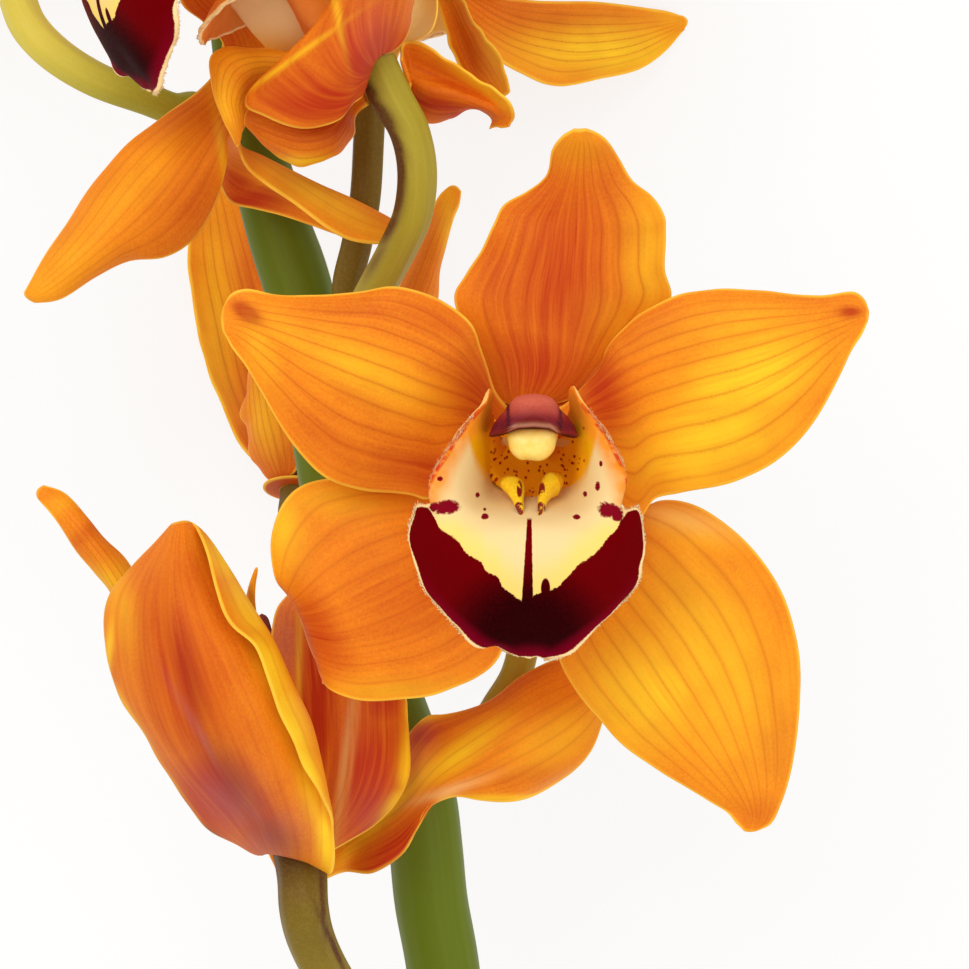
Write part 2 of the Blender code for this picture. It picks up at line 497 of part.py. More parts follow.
# The stem's middle line from the cut end to the tip, and its radii along its length
STEM_ROUTE = [(540, 1922, STEM_RADIUS - MAIN_HEIGHT), (520, 1700, -98), (495, 1450, -87), (466, 1200, -72),
              (443, 968, -58), (431, 900, -54.5), (426, 850, -52), (419, 797, -49.5), (403, 745, -47.5),
              (385, 695, -46.5), (352, 590, -45.5), (332, 467, -45), (299, 292, -45), (279, 230, -45),
              (260, 165, -45), (243, 90, -44.5), (236, 40, -44), (221, -40, -43), (203, -150, -42),
              (190, -260, -41)]
STEM_SAMPLES = 400          # places on the stem that its branches are measured against
STEM_RADII = [(0.0, 1.0), (0.55, 1.0), (0.78, 0.92), (0.9, 0.6), (1.0, 0.36)]

# Pedicels: a place near the stem where each starts, then its route to just behind the bloom
PEDICELS = {
    "main": ([(470, 752, -42), (497, 706, -36), (517, 672, -33), (527, 620, -32), (531, 540, -30), (530, 475, -25)],
             [(0, 2.2), (0.55, 2.3), (0.85, 3.2), (0.93, 2.95), (1, HUB_RADIUS)]),
    "lower_left": ([(436, 1142, -62), (408, 1090, -52), (368, 1025, -43), (326, 968, -35), (306, 928, -30)],
                   [(0, 2.6), (0.4, 3.2), (0.75, 3.6), (0.88, 3.5), (0.94, 2.95), (1, HUB_RADIUS)]),
    "upper": ([(334, 384, -40), (352, 330, -33), (374, 292, -26), (397, 250, -21), (413, 213, -17),
               (416, 170, -14), (408, 138, -12.5)],
              [(0, 2.2), (0.4, 2.7), (0.8, 2.8), (1, HUB_RADIUS)]),
    "back": ([(352, 596, -56), (334, 566, -62), (315, 530, -67)], [(0, 2.1), (0.5, 2.4), (1, HUB_RADIUS)]),
    "top_right": ([(335, 345, -42), (347, 290, -38), (357, 243, -35), (365, 199, -34), (369, 133, -34),
                   (373, 60, -36), (385, 0, -44), (412, -45, -56)],
                  [(0, 2.2), (0.5, 2.3), (0.85, 2.6), (1, HUB_RADIUS)]),
    "top_left": ([(210, 112, -43), (175, 109, -40), (145, 98, -38), (95, 79, -36), (55, 54, -36), (30, 28, -37),
                  (18, 0, -40), (8, -50, -46), (-8, -105, -53)],
                 [(0, 2.2), (0.4, 2.7), (0.85, 2.8), (1, HUB_RADIUS)]),
    "top": ([(240, -84, -46), (270, -96, -47), (306, -99, -42), (331, -102, -32), (333, -104, -22)],
            [(0, 2.0), (0.5, 2.3), (1, HUB_RADIUS)]),
}
BUDS = {
    "bud_side": [(214, -170, -36), (226, -205, -32), (238, -250, -28), (246, -300, -26), (250, -350, -26),
                 (250, -392, -28)],
    "bud_end": [(189, -263, -41), (182, -300, -41), (170, -345, -42), (158, -395, -44), (146, -445, -47),
                (138, -482, -50)],
}
BUD_RADII = [(0.0, 1.3), (0.3, 1.4), (0.42, 2.4), (0.55, 4.6), (0.7, 5.6), (0.85, 4.8), (0.95, 2.6), (1.0, 0.9)]


def stem_line(count):
    return smooth_curve([seen(*point) for point in STEM_ROUTE], np.linspace(0.0, 1.0, count))


def stem_gap(place, direction, radius, line):
    """Distance from the rim of a branch's end to the stem's skin."""
    first = unit(np.cross(direction, (0.31, 0.52, 0.79)))
    second = np.cross(direction, first)
    turns = np.linspace(0.0, 2 * math.pi, 16, endpoint=False)[:, None]
    rim = place + radius * (np.cos(turns) * first + np.sin(turns) * second)
    shares = np.linspace(0.0, 1.0, len(line))
    skin = STEM_RADIUS * np.interp(shares, [r[0] for r in STEM_RADII], [r[1] for r in STEM_RADII])
    away = np.linalg.norm(rim[:, None] - line[None], axis=2) - skin
    return away.min()


def joined_to_stem(place, radius):
    """The two first points of a branch that leaves the stem slantwise, towards the given place."""
    line = stem_line(STEM_SAMPLES)
    nearest = int(np.argmin(np.linalg.norm(line - place, axis=1)))
    step = np.linalg.norm(line[1] - line[0])
    if nearest == len(line) - 1:
        axis = unit(line[-1] - line[-2])
        return [line[-1] + axis * CLEARANCE, line[-1] + axis * 2.0]
    away = np.linalg.norm(place - line[nearest])
    start = max(nearest - int(away * math.tan(BRANCH_LEAN) / step), 0)
    towards = unit(place - line[start])
    reach = STEM_RADIUS + radius
    for _ in range(4):
        reach += CLEARANCE - stem_gap(line[start] + towards * reach, towards, radius, line)
    return [line[start] + towards * reach, line[start] + towards * (reach + 2.5)]


def rooted(name, bloom):
    """Adds the root on the ovary to a blade's rails and puts them in the real place."""
    rails = [[seen(*point) for point in rail] for rail in RAILS[name]]
    level = PETAL_LEVEL if "petal" in name else SEPAL_LEVEL
    start = np.mean([rail[0] for rail in rails], axis=0) - bloom.hub
    angle = ROOT_ANGLES.get(name, math.degrees(math.atan2(start @ bloom.up, start @ bloom.side)))
    centre, out = bloom.root(angle, level)
    across = rails[-1][0] - rails[0][0]
    across = unit(across - out * (across @ out))
    for index, rail in enumerate(rails):
        share = 2.0 * index / (len(rails) - 1) - 1.0
        rail.insert(0, centre + across * ROOT_HALF_WIDTH * share)
    return rails


def build_bloom(bloom, parent, collection):
    shown = bloom.name in ("main", "lower_left", "upper")
    rows, columns = (10, 6) if shown else (7, 5)
    for number, part in enumerate(BLADE_NAMES):
        name = bloom.name + "_" + part
        if name in RAILS:
            surface = railed(rooted(name, bloom))
            length = 14 if name in LONG_BLADES else 10
            blade(name, surface, length, columns, BLADE, ORANGE, parent, collection)
        else:
            surface = arched(bloom, *ARCHES[name], phase=number)
            blade(name, surface, rows, columns, BLADE, ORANGE, parent, collection)
    rows, columns = (16, 10) if bloom.name == "main" else (9, 6)
    blade(bloom.name + "_lip", lip_surface(bloom), rows, columns, LIP_BLADE, CREAM, parent, collection)
    column_object(bloom, parent, collection)
    route, radii = PEDICELS[bloom.name]
    places = joined_to_stem(seen(*route[0]), radii[0][1]) + [seen(*point) for point in route[1:]]
    places += [bloom.hub - bloom.facing * 7.0, bloom.hub - bloom.facing * 3.0, bloom.hub + bloom.facing * 1.3]
    length = np.linalg.norm(np.diff(places, axis=0), axis=1).sum()
    tube(bloom.name + "_pedicel", places, radii, 6 + int(length / RING_STEP), 8, OLIVE, parent, collection)


def centre_under(parent):
    """Moves the whole spray so that the origin is under the middle of its box, on the surface."""
    graph = bpy.context.evaluated_depsgraph_get()
    corners = []
    for obj in parent.children:
        shown = obj.evaluated_get(graph)
        mesh = shown.to_mesh()
        places = np.empty(len(mesh.vertices) * 3)
        mesh.vertices.foreach_get("co", places)
        shown.to_mesh_clear()
        places = places.reshape(-1, 3)
        corners += [places.min(axis=0), places.max(axis=0)]
    low, high = np.min(corners, axis=0), np.max(corners, axis=0)
    parent.location = (-(low[0] + high[0]) / 2, -(low[1] + high[1]) / 2, -low[2])


def main():
    for obj in list(bpy.data.objects):
        bpy.data.objects.remove(obj)
    collection = bpy.data.collections.new("cymbidium_spray")
    bpy.context.scene.collection.children.link(collection)
    parent = bpy.data.objects.new("spray", None)
    collection.objects.link(parent)
    radii = [(share, STEM_RADIUS * part) for share, part in STEM_RADII]
    tube("stem", [seen(*point) for point in STEM_ROUTE], radii, 34, 12, STEM_GREEN, parent, collection)
    for bloom in BLOOMS.values():
        build_bloom(bloom, parent, collection)
    for name, route in BUDS.items():
        places = joined_to_stem(seen(*route[0]), BUD_RADII[0][1]) + [seen(*point) for point in route[1:]]
        tube(name, places, BUD_RADII, 16, 8, BUD_GREEN, parent, collection)
    centre_under(parent)


main()
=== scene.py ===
import math

import bpy
import numpy as np
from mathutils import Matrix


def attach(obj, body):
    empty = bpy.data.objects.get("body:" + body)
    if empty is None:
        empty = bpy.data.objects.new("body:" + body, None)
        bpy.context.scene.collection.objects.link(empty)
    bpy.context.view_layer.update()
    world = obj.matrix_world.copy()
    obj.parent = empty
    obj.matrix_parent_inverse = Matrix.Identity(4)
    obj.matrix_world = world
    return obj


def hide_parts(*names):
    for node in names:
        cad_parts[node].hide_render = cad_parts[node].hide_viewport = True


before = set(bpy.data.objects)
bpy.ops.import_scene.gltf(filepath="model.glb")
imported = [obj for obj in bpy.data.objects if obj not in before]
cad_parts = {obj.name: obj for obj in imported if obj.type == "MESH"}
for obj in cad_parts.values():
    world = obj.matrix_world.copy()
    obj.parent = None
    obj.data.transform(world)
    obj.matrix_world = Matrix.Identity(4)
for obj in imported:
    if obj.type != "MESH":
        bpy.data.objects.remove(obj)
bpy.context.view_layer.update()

print("frame loaded")


# The camera comes first. Places are measured in points of its square view and in millimetres of height.

view = {
    "points": 969.0,            # the view is a square of this many points
    "point": 90.0 / 646.0,      # size of one point on the main bloom's plane, mm
    "distance": 700.0,          # from the eye to that plane, mm
    "height": 107.0,            # of that plane over the table, mm
    "sensor": 36.0, "clip": (0.05, 20.0),
    "shift": (37.280317, 42.629577, -0.000431),  # from the view's middle to the spray's own origin, mm
}


def place(column, row, height):
    # real place in mm: points from the view's middle, less the nearer they are, plus the shift
    column, row, height = np.broadcast_arrays(*(np.asarray(v, float) for v in (column, row, height)))
    nearer = (1 - height / view["distance"]) * view["point"]
    x = (column - view["points"] / 2) * nearer
    y = (view["points"] / 2 - row) * nearer
    return np.stack([x, y, view["height"] + height], axis=-1) + np.array(view["shift"])


def viewPoints(places):
    # the inverse of place: column and row of each real place
    local = places - np.array(view["shift"])
    nearer = (1 - (local[..., 2] - view["height"]) / view["distance"]) * view["point"]
    return view["points"] / 2 + local[..., 0] / nearer, view["points"] / 2 - local[..., 1] / nearer


def setCamera():
    camera = bpy.data.cameras.new("camera")
    camera.sensor_width = view["sensor"]
    camera.angle = 2 * math.atan(view["points"] * view["point"] / 2 / view["distance"])
    camera.clip_start, camera.clip_end = view["clip"]
    obj = bpy.data.objects.new("camera", camera)
    obj.location = np.array([view["shift"][0], view["shift"][1], view["height"] + view["distance"]]) / 1000
    bpy.context.scene.collection.objects.link(obj)
    bpy.context.scene.camera = obj


setCamera()


# Curves and frames

def unit(vectors):
    vectors = np.asarray(vectors, float)
    return vectors / np.maximum(np.linalg.norm(vectors, axis=-1, keepdims=True), 1e-9)


def hermite(points, tangents, where):
    # cubic between neighbours, with the given tangents, at places counted from 0 to the last index
    start = np.clip(np.floor(where).astype(int), 0, len(points) - 2)
    f = (where - start).reshape((-1,) + (1,) * (points.ndim - 1))
    a, b, m, n = points[start], points[start + 1], tangents[start], tangents[start + 1]
    weights = 2 * f**3 - 3 * f**2 + 1, f**3 - 2 * f**2 + f, 3 * f**2 - 2 * f**3, f**3 - f**2
    return sum(weight * value for weight, value in zip(weights, (a, m, b, n)))


def evenTangents(points):
    # slopes of evenly numbered points, those of a parabola at both ends
    tangents = np.gradient(points, axis=0)
    if len(points) > 2:
        tangents[0] = (-3 * points[0] + 4 * points[1] - points[2]) / 2
        tangents[-1] = (3 * points[-1] - 4 * points[-2] + points[-3]) / 2
    return tangents


def smoothCurve(points, shares):
    # a smooth curve through the points, at shares of its own length
    points = np.array(points, float)
    steps = np.linalg.norm(np.diff(points, axis=0), axis=1)
    knots = np.concatenate([[0.0], np.cumsum(np.sqrt(steps))])
    slopes = np.gradient(points, knots, axis=0)
    dense = []
    for i in range(len(points) - 1):
        width = knots[i + 1] - knots[i]
        dense.append(hermite(points[i:i + 2], slopes[i:i + 2] * width, np.linspace(0.0, 0.99, 12)))
    dense = np.vstack(dense + [points[-1:]])
    length = np.concatenate([[0.0], np.cumsum(np.linalg.norm(np.diff(dense, axis=0), axis=1))])
    wanted = np.asarray(shares) * length[-1]
    return np.stack([np.interp(wanted, length, dense[:, k]) for k in range(dense.shape[1])], axis=1)


lowest = {"height": 0.4, "softness": 1.6}


def rest(points):
    # what would sink below the table bends along it: height + softness * log(1 + e^x)
    points = points.copy()
    over = (points[..., 2] - lowest["height"]) / lowest["softness"]
    points[..., 2] = lowest["height"] + lowest["softness"] * np.logaddexp(0.0, over)
    return points


class Bloom:
    # a bloom's hub and its own directions: side, up (towards the dorsal sepal) and facing
    def __init__(self, name, hub, facing, up, lip, column):
        self.name, self.hub, self.facing = name, place(*hub), unit(facing)
        self.side = unit(np.cross(up, self.facing))
        self.up = np.cross(self.facing, self.side)
        self.lip, self.column = lip, column

    def put(self, own):
        return self.hub + np.asarray(own, float) @ np.stack([self.side, self.up, self.facing])

    def root(self, angle, level):
        out = self.side * math.cos(math.radians(angle)) + self.up * math.sin(math.radians(angle))
        return self.hub + out * bloomSizes["reach"] + self.facing * level, out


bloomSizes = {
    "reach": 3.75,        # from the ovary's axis to the root of a blade, mm
    "rootHalf": 2.2,      # half the width of a blade's root
    "sepalLevel": -1.3,   # sepals sit lower on the ovary than petals
    "petalLevel": 1.0,
    "hub": (530, 432, -8.0),
}

blooms = {
    "main": Bloom("main", (530, 432, -8), (0, 0, 1), (0, 1, 0), 1.0, 1.0),
    "lower_left": Bloom("lower_left", (299, 856, -30), (-0.16, 0.93, -0.35), (0.2, 0, 0.98), 0.65, 1.72),
    "upper": Bloom("upper", (378, 72, -13), (-0.3, 0.93, -0.15), (0.93, 0.3, -0.1), 0.7, 0.8),
    "back": Bloom("back", (300, 478, -72), (0.05, 0.93, -0.35), (-0.9, -0.1, 0.45), 0.55, 0.8),
    "top_right": Bloom("top_right", (432, -45, -72), (0.3, 0.35, -0.88), (0.87, 0.5, 0.49), 0.75, 0.8),
    "top_left": Bloom("top_left", (-40, -170, -60), (-0.55, 0.6, -0.5), (0.6, 0.6, 0.2), 0.85, 0.9),
    "top": Bloom("top", (280, -102, -12), (-0.85, 0.1, 0.5), (0.15, 1, 0.1), 0.95, 0.95),
}

# Where a blade sits on the ovary, in degrees round the facing axis from the side direction
rootAngles = {
    "main_sepal_left": 215, "main_sepal_right": 325, "main_dorsal_sepal": 90,
    "main_petal_left": 165, "main_petal_right": 15,
    "upper_petal_left": 355, "upper_sepal_left": 305, "upper_sepal_right": 222,
    "upper_dorsal_sepal": 80, "upper_petal_right": 168,
    "back_petal_left": 33, "back_petal_right": 228, "lower_left_sepal_left": 312,
    "top_sepal_left": 205, "top_sepal_right": 300,
    "top_right_petal_left": 155, "top_right_sepal_left": 215,
}

# Rails from root to tip as (column, row, height), side by side across each blade
rails = {
    "main_dorsal_sepal": (
        [
            (496, 398, -9.3), (478, 360, -9), (457, 310, -9), (455, 293, -9), (465, 276, -9),
            (481, 252, -9), (493, 226, -8), (503, 206, -8), (526, 193, -7), (546, 176, -6), (552, 150, -3),
            (563, 135, 0), (574, 129, 1)],
        [
            (543, 393, -8.5), (556, 370, -7.5), (560, 330, -6.5), (566, 270, -6), (571, 215, -6),
            (577, 165, -3), (580, 140, 0), (580, 129, 1)],
        [
            (572, 398, -9.3), (601, 369, -9), (634, 337, -9), (671, 299, -9), (665, 270, -9),
            (666, 235, -9), (665, 217, -8), (652, 197, -8), (632, 180, -7), (619, 158, -5), (605, 138, -1),
            (594, 131, 0), (586, 129, 1)]),
    "main_petal_right": (
        [
            (566, 404, -6), (583, 388, -5), (600, 370, -4), (607, 350, -3), (635, 318, -1), (671, 299, 0),
            (712, 289, 0), (770, 292, 0.5), (820, 296, 1.5), (855, 292, 2), (865, 300, 2), (869, 311, 2)],
        [
            (600, 400, -3), (650, 375, 0), (700, 360, 1.5), (760, 345, 2), (810, 330, 2), (850, 319, 2),
            (869, 315, 2)],
        [
            (596, 470, -5), (638, 518, -5), (655, 499, -4), (680, 493, -3), (740, 480, -2), (780, 458, -1),
            (815, 420, 0), (840, 375, 1), (852, 350, 1.5), (862, 335, 2), (868, 321, 2)]),
    "main_petal_left": (
        [
            (480, 455, -5), (430, 499, -5), (410, 495, -4), (362, 490, -3), (322, 475, -1), (290, 440, 0),
            (260, 390, 0), (245, 365, 1), (232, 348, 1.5), (223, 331, 2)],
        [
            (470, 400, -3), (430, 385, 0), (380, 365, 1.5), (320, 345, 2), (270, 328, 2), (240, 319, 2),
            (221, 320, 2)],
        [
            (509, 409, -6), (496, 392, -4.5), (483, 355, -3), (470, 323, -1), (440, 300, 0), (392, 287, 0),
            (340, 294, 0), (275, 295, 1), (245, 289, 2), (231, 294, 2), (223, 307, 2)]),
    "main_sepal_right": (
        [
            (590, 470, -9), (630, 516, -9), (660, 501, -9), (690, 504, -9), (725, 523, -9), (760, 558, -8),
            (785, 600, -8), (798, 645, -7), (800, 700, -7), (792, 765, -7), (780, 806, -6), (771, 824, -6),
            (757, 831, -6)],
        [
            (580, 520, -8), (620, 590, -6), (665, 650, -5), (705, 715, -5), (735, 770, -5), (752, 812, -6),
            (750, 832, -6)],
        [
            (545, 560, -9), (560, 660, -9), (600, 720, -9), (620, 742, -8), (660, 771, -8), (705, 798, -7),
            (727, 812, -7), (735, 822, -6), (744, 831, -6)]),
    "main_sepal_left": (
        [
            (510, 560, -9), (500, 655, -9), (478, 677, -9), (440, 693, -9), (400, 699, -9), (360, 700, -9),
            (335, 692, -9), (323, 680, -11), (330, 664, -14)],
        [
            (470, 540, -8), (420, 575, -6), (370, 600, -6), (325, 618, -7), (303, 618, -10),
            (312, 617, -13.5)],
        [
            (480, 460, -9), (400, 478, -9), (330, 478, -9), (300, 486, -9), (280, 510, -9), (271, 543, -9),
            (275, 575, -9), (284, 589, -11), (297, 584, -13.5)]),
    "lower_left_petal_left": (
        [
            (262, 855, -27), (235, 843, -25), (205, 825, -22), (185, 800, -19), (165, 770, -17),
            (140, 730, -15), (118, 690, -14), (106, 650, -13), (104, 622, -13), (113, 590, -13),
            (132, 567, -13), (155, 543, -12), (172, 524, -11)],
        [
            (272, 852, -25), (245, 815, -15), (210, 775, -8), (180, 715, -4), (165, 650, -3),
            (162, 600, -4), (168, 560, -7), (178, 522, -10)],
        [
            (300, 858, -23), (285, 800, -12), (260, 730, -5), (232, 665, -2), (205, 605, -3),
            (190, 560, -6), (184, 521, -10)],
        [
            (319, 866, -23.5), (323, 825, -18), (318, 775, -14), (308, 725, -12), (290, 683, -9),
            (270, 640, -8), (245, 600, -8), (225, 567, -10), (203, 535, -11), (190, 522, -11)],
        [
            (330, 874, -24), (334, 832, -18), (320, 795, -10.5), (300, 760, -6), (285, 725, -3.5),
            (270, 685, -1.5), (255, 648, 0), (232, 625, 0.5), (217, 590, -1), (208, 555, -5),
            (197, 527, -9.5)]),
    "lower_left_sepal_left": (
        [
            (258, 835, -32), (205, 775, -30), (160, 700, -29), (125, 630, -29), (110, 590, -29),
            (95, 572, -29), (78, 553, -29), (60, 525, -29), (48, 510, -29), (39, 499, -30)],
        [
            (262, 818, -30.5), (205, 735, -27), (155, 655, -26), (118, 580, -26), (85, 535, -27),
            (55, 502, -29), (37, 491, -30)],
        [
            (268, 800, -31), (215, 715, -29), (160, 635, -29), (131, 567, -29), (105, 540, -29),
            (88, 519, -29), (64, 493, -30), (44, 485, -30)]),
    "lower_left_petal_right": (
        [
            (306, 818, -28.5), (299, 785, -26.5), (286, 715, -27), (277, 665, -28), (272, 635, -28),
            (277, 608, -28), (293, 590, -29), (310, 575, -30)],
        [
            (326, 830, -28), (345, 780, -25), (350, 710, -24), (345, 650, -24), (335, 600, -26),
            (325, 575, -29)],
        [
            (347, 842, -30), (378, 822, -31), (402, 793, -30), (411, 760, -30), (408, 728, -30),
            (404, 690, -29), (385, 640, -29), (360, 595, -29), (340, 575, -30)]),
    "lower_left_dorsal_sepal": (
        [
            (350, 825, -40), (388, 775, -40), (412, 732, -37), (428, 716, -33), (445, 715, -31),
            (480, 706, -29), (520, 677, -28), (555, 660, -28), (590, 655, -29)],
        [
            (350, 850, -37), (400, 820, -34), (440, 778, -29), (480, 750, -25), (540, 712, -24),
            (580, 690, -26), (602, 674, -29)],
        [
            (345, 872, -36), (372, 873, -34), (402, 855, -33), (417, 830, -31), (430, 806, -29.5),
            (452, 796, -28), (480, 800, -27), (520, 800, -26), (565, 778, -27), (590, 752, -28),
            (601, 725, -29), (608, 697, -30)]),
    "upper_petal_left": (
        [
            (362, 96, -9), (352, 104, -8), (340, 119, -8), (322, 126, -8), (303, 128, -8), (283, 124, -8),
            (262, 115, -9), (246, 106, -10), (249, 92, -10), (262, 80, -9), (288, 66, -7), (310, 48, -6),
            (327, 30, -5), (336, 5, -5), (340, -40, -5), (348, -90, -7), (362, -128, -9)],
        [(372, 60, -6), (366, 40, -2), (364, 10, -1), (368, -30, 0), (372, -85, -3), (374, -132, -8)],
        [
            (388, 52, -9), (403, 42, -9), (410, 20, -8), (414, -15, -8), (413, -60, -8), (403, -100, -8),
            (386, -128, -9)]),
    "upper_sepal_left": (
        [
            (344, 102, -15), (320, 92, -18), (290, 85, -19), (262, 92, -17), (249, 101, -15),
            (244, 113, -13), (242, 128, -12), (240, 140, -12.5)],
        [
            (344, 93, -13), (312, 72, -13.5), (272, 66, -14), (240, 76, -11), (230, 100, -9.5),
            (234, 120, -10), (237, 134, -11.5), (238, 146, -13)],
        [
            (344, 84, -14), (316, 60, -15), (285, 51, -15), (250, 48, -15), (224, 47, -13), (212, 56, -12),
            (211, 76, -11), (215, 98, -10), (222, 116, -10), (229, 131, -11), (236, 144, -13)]),
    "upper_sepal_right": (
        [(350, 88, -19), (326, 88, -21.5), (295, 92, -21.5), (262, 102, -21), (246, 114, -20)],
        [(350, 103, -17.5), (330, 128, -15), (305, 134, -14.5), (270, 126, -16), (244, 119, -19)],
        [
            (355, 118, -19), (354, 134, -19), (343, 149, -19), (322, 161, -19), (304, 165, -19),
            (283, 159, -19), (262, 143, -19), (246, 125, -20)]),
    "upper_dorsal_sepal": (
        [
            (404, 42, -14), (420, 42, -13), (440, 55, -12), (460, 68, -11), (480, 80, -11), (497, 91, -10),
            (510, 103, -10.5), (514, 116, -12), (510, 126, -14)],
        [
            (408, 64, -16), (430, 72, -16), (460, 84, -15), (485, 96, -14), (500, 107, -13),
            (506, 119, -14), (503, 128, -15)],
        [
            (410, 80, -16), (425, 91, -15), (447, 96, -14), (470, 101, -13), (490, 109, -13),
            (499, 118, -14.5), (497, 127, -16)],
        [
            (409, 98, -18), (415, 112, -21), (430, 123, -22.5), (450, 117, -21), (470, 107, -18),
            (486, 113, -16.5), (492, 120, -17), (490, 129, -18.5)]),
    "upper_petal_right": (
        [
            (388, 40, -19), (402, 10, -19), (404, -40, -20), (390, -100, -22), (372, -150, -24),
            (360, -182, -26)],
        [
            (395, 42, -21), (418, 5, -23), (420, -45, -25), (405, -110, -26), (385, -160, -27),
            (368, -194, -27)],
        [
            (402, 48, -20), (432, 30, -19), (436, -5, -19), (432, -60, -20), (414, -120, -22),
            (394, -160, -24), (380, -184, -26)]),
    "back_petal_left": (
        [
            (274, 471, -76), (255, 461, -78), (238, 441, -81), (222, 405, -86), (205, 360, -92),
            (194, 310, -99), (188, 260, -105), (193, 215, -109), (204, 182, -109)],
        [
            (281, 462, -79), (264, 425, -86), (250, 380, -94), (238, 320, -101), (225, 260, -107),
            (218, 210, -110), (214, 178, -110)],
        [
            (288, 455, -82), (291, 400, -90), (285, 340, -97), (272, 285, -102), (254, 230, -106),
            (238, 195, -109), (224, 180, -109)]),
    "back_petal_right": (
        [
            (322, 444, -70), (350, 400, -70), (377, 335, -74), (400, 285, -79), (417, 245, -83),
            (430, 213, -87), (440, 195, -89), (448, 188, -90)],
        [
            (331, 454, -68), (365, 405, -65), (397, 345, -70), (420, 290, -77), (438, 240, -82),
            (450, 205, -88), (455, 186, -90)],
        [
            (340, 466, -69), (381, 425, -68), (418, 365, -73), (436, 310, -79), (442, 260, -83),
            (452, 222, -86), (459, 205, -89), (461, 192, -90)]),
    "top_right_petal_left": (
        [
            (458, -30, -76), (490, -8, -80), (530, 0, -87), (600, 2, -96), (640, 7, -101), (668, 12, -105),
            (682, 17, -108)],
        [
            (452, -14, -79), (500, 25, -84), (560, 42, -91), (620, 40, -99), (665, 29, -106),
            (687, 23, -109)],
        [
            (444, 0, -77), (480, 45, -80), (520, 73, -85), (557, 86, -90), (600, 79, -96), (640, 69, -101),
            (666, 51, -105), (683, 31, -108)]),
    "top_right_sepal_left": (
        [(462, 0, -65), (472, 18, -64), (486, 38, -64), (499, 54, -64), (506, 75, -65), (510, 92, -66)],
        [(450, 2, -69), (462, 30, -70), (475, 58, -70), (490, 80, -68), (503, 97, -67)],
        [(438, 5, -68), (445, 30, -69), (454, 54, -69), (466, 76, -69), (480, 90, -68), (494, 98, -67)]),
    "top_sepal_left": (
        [
            (180, -40, -24), (181, 3, -26), (203, 22, -27), (222, 42, -28), (222, 62, -28), (206, 83, -27),
            (160, 120, -25), (128, 144, -23), (98, 177, -21), (70, 220, -20), (45, 256, -19),
            (30, 283, -18), (25, 292, -18)],
        [
            (200, -45, -24), (208, -5, -26), (232, 18, -27), (246, 45, -28), (242, 75, -28),
            (220, 108, -26), (180, 150, -20), (145, 190, -17), (105, 235, -15), (65, 272, -16),
            (38, 292, -17), (26, 297, -18)],
        [
            (220, -45, -24), (226, 0, -26), (253, 28, -27), (268, 55, -28), (261, 92, -28.5),
            (240, 122, -28), (228, 137, -27), (225, 165, -25), (213, 208, -24), (190, 243, -23),
            (165, 257, -21), (130, 260, -20), (95, 277, -19), (60, 299, -18), (35, 303, -18)]),
    "top_sepal_right": (
        [
            (298, -60, -19), (316, -25, -29), (318, 0, -32), (296, 50, -33), (266, 95, -32),
            (247, 124, -29), (239, 144, -25.5), (246, 166, -23), (266, 184, -22.5), (294, 203, -23),
            (328, 229, -23), (350, 240, -24), (378, 244, -25), (396, 241, -26)],
        [
            (284, -60, -20), (282, -25, -31), (276, 0, -34), (258, 50, -35.5), (240, 100, -36),
            (230, 130, -33), (236, 151, -30), (260, 160, -29.5), (290, 173, -29), (320, 187, -29),
            (350, 200, -29), (376, 213, -28.5), (392, 222, -28), (403, 234, -28)],
        [
            (268, -62, -21), (244, -30, -31), (230, 0, -33), (222, 50, -35), (216, 100, -36),
            (213, 140, -36), (218, 175, -35), (230, 202, -34.5), (255, 209, -34), (280, 215, -33.5),
            (310, 225, -32.5), (335, 234, -32), (362, 240, -31), (392, 243, -30)]),
}

# Blades that a curve gives: angle, level, length, width, opening, closing, cup and, where narrow,
# half the root's width
arches = {
    "lower_left_sepal_right": (252, -1.3, 19, 7, 74, 40, 2),
    "back_dorsal_sepal": (112, -1.3, 20, 10, 35, 5, 2),
    "back_sepal_left": (328, -1.3, 46, 10, 84, 50, 2, 1.2),
    "back_sepal_right": (268, -1.3, 34, 10, 72, 55, 2, 1.2),
    "top_right_dorsal_sepal": (90, -1.3, 46, 26, 85, 55, 3),
    "top_right_petal_right": (30, 1.0, 44, 26, 72, 40, 3),
    "top_right_sepal_right": (325, -1.3, 46, 24, 85, 60, 3),
    "top_left_dorsal_sepal": (90, -1.3, 44, 26, 68, 50, 4),
    "top_left_petal_left": (151, 1.0, 44, 25, 55, 35, 4),
    "top_left_petal_right": (29, 1.0, 44, 25, 55, 35, 4),
    "top_left_sepal_left": (213, -1.3, 48, 24, 65, 45, 4),
    "top_left_sepal_right": (327, -1.3, 48, 24, 65, 45, 4),
    "top_dorsal_sepal": (90, -1.3, 44, 28, 75, 65, 3),
    "top_petal_left": (148, 1.0, 44, 26, 75, 60, 3),
    "top_petal_right": (32, 1.0, 44, 26, 75, 60, 3),
}
bladeParts = ("dorsal_sepal", "sepal_left", "sepal_right", "petal_left", "petal_right")


# Surfaces: functions of t along a blade and s across it, both from 0 to 1

def placed(line):
    return [place(*point) for point in line]


def railSurface(lines):
    # at each t the rails' places, joined across by a cubic
    def surface(t, s):
        rows = np.stack([smoothCurve(line, t) for line in lines])
        tangents = evenTangents(rows)
        return np.swapaxes(hermite(rows, tangents, s * (len(lines) - 1)), 0, 1)
    return surface


archSteps = 60


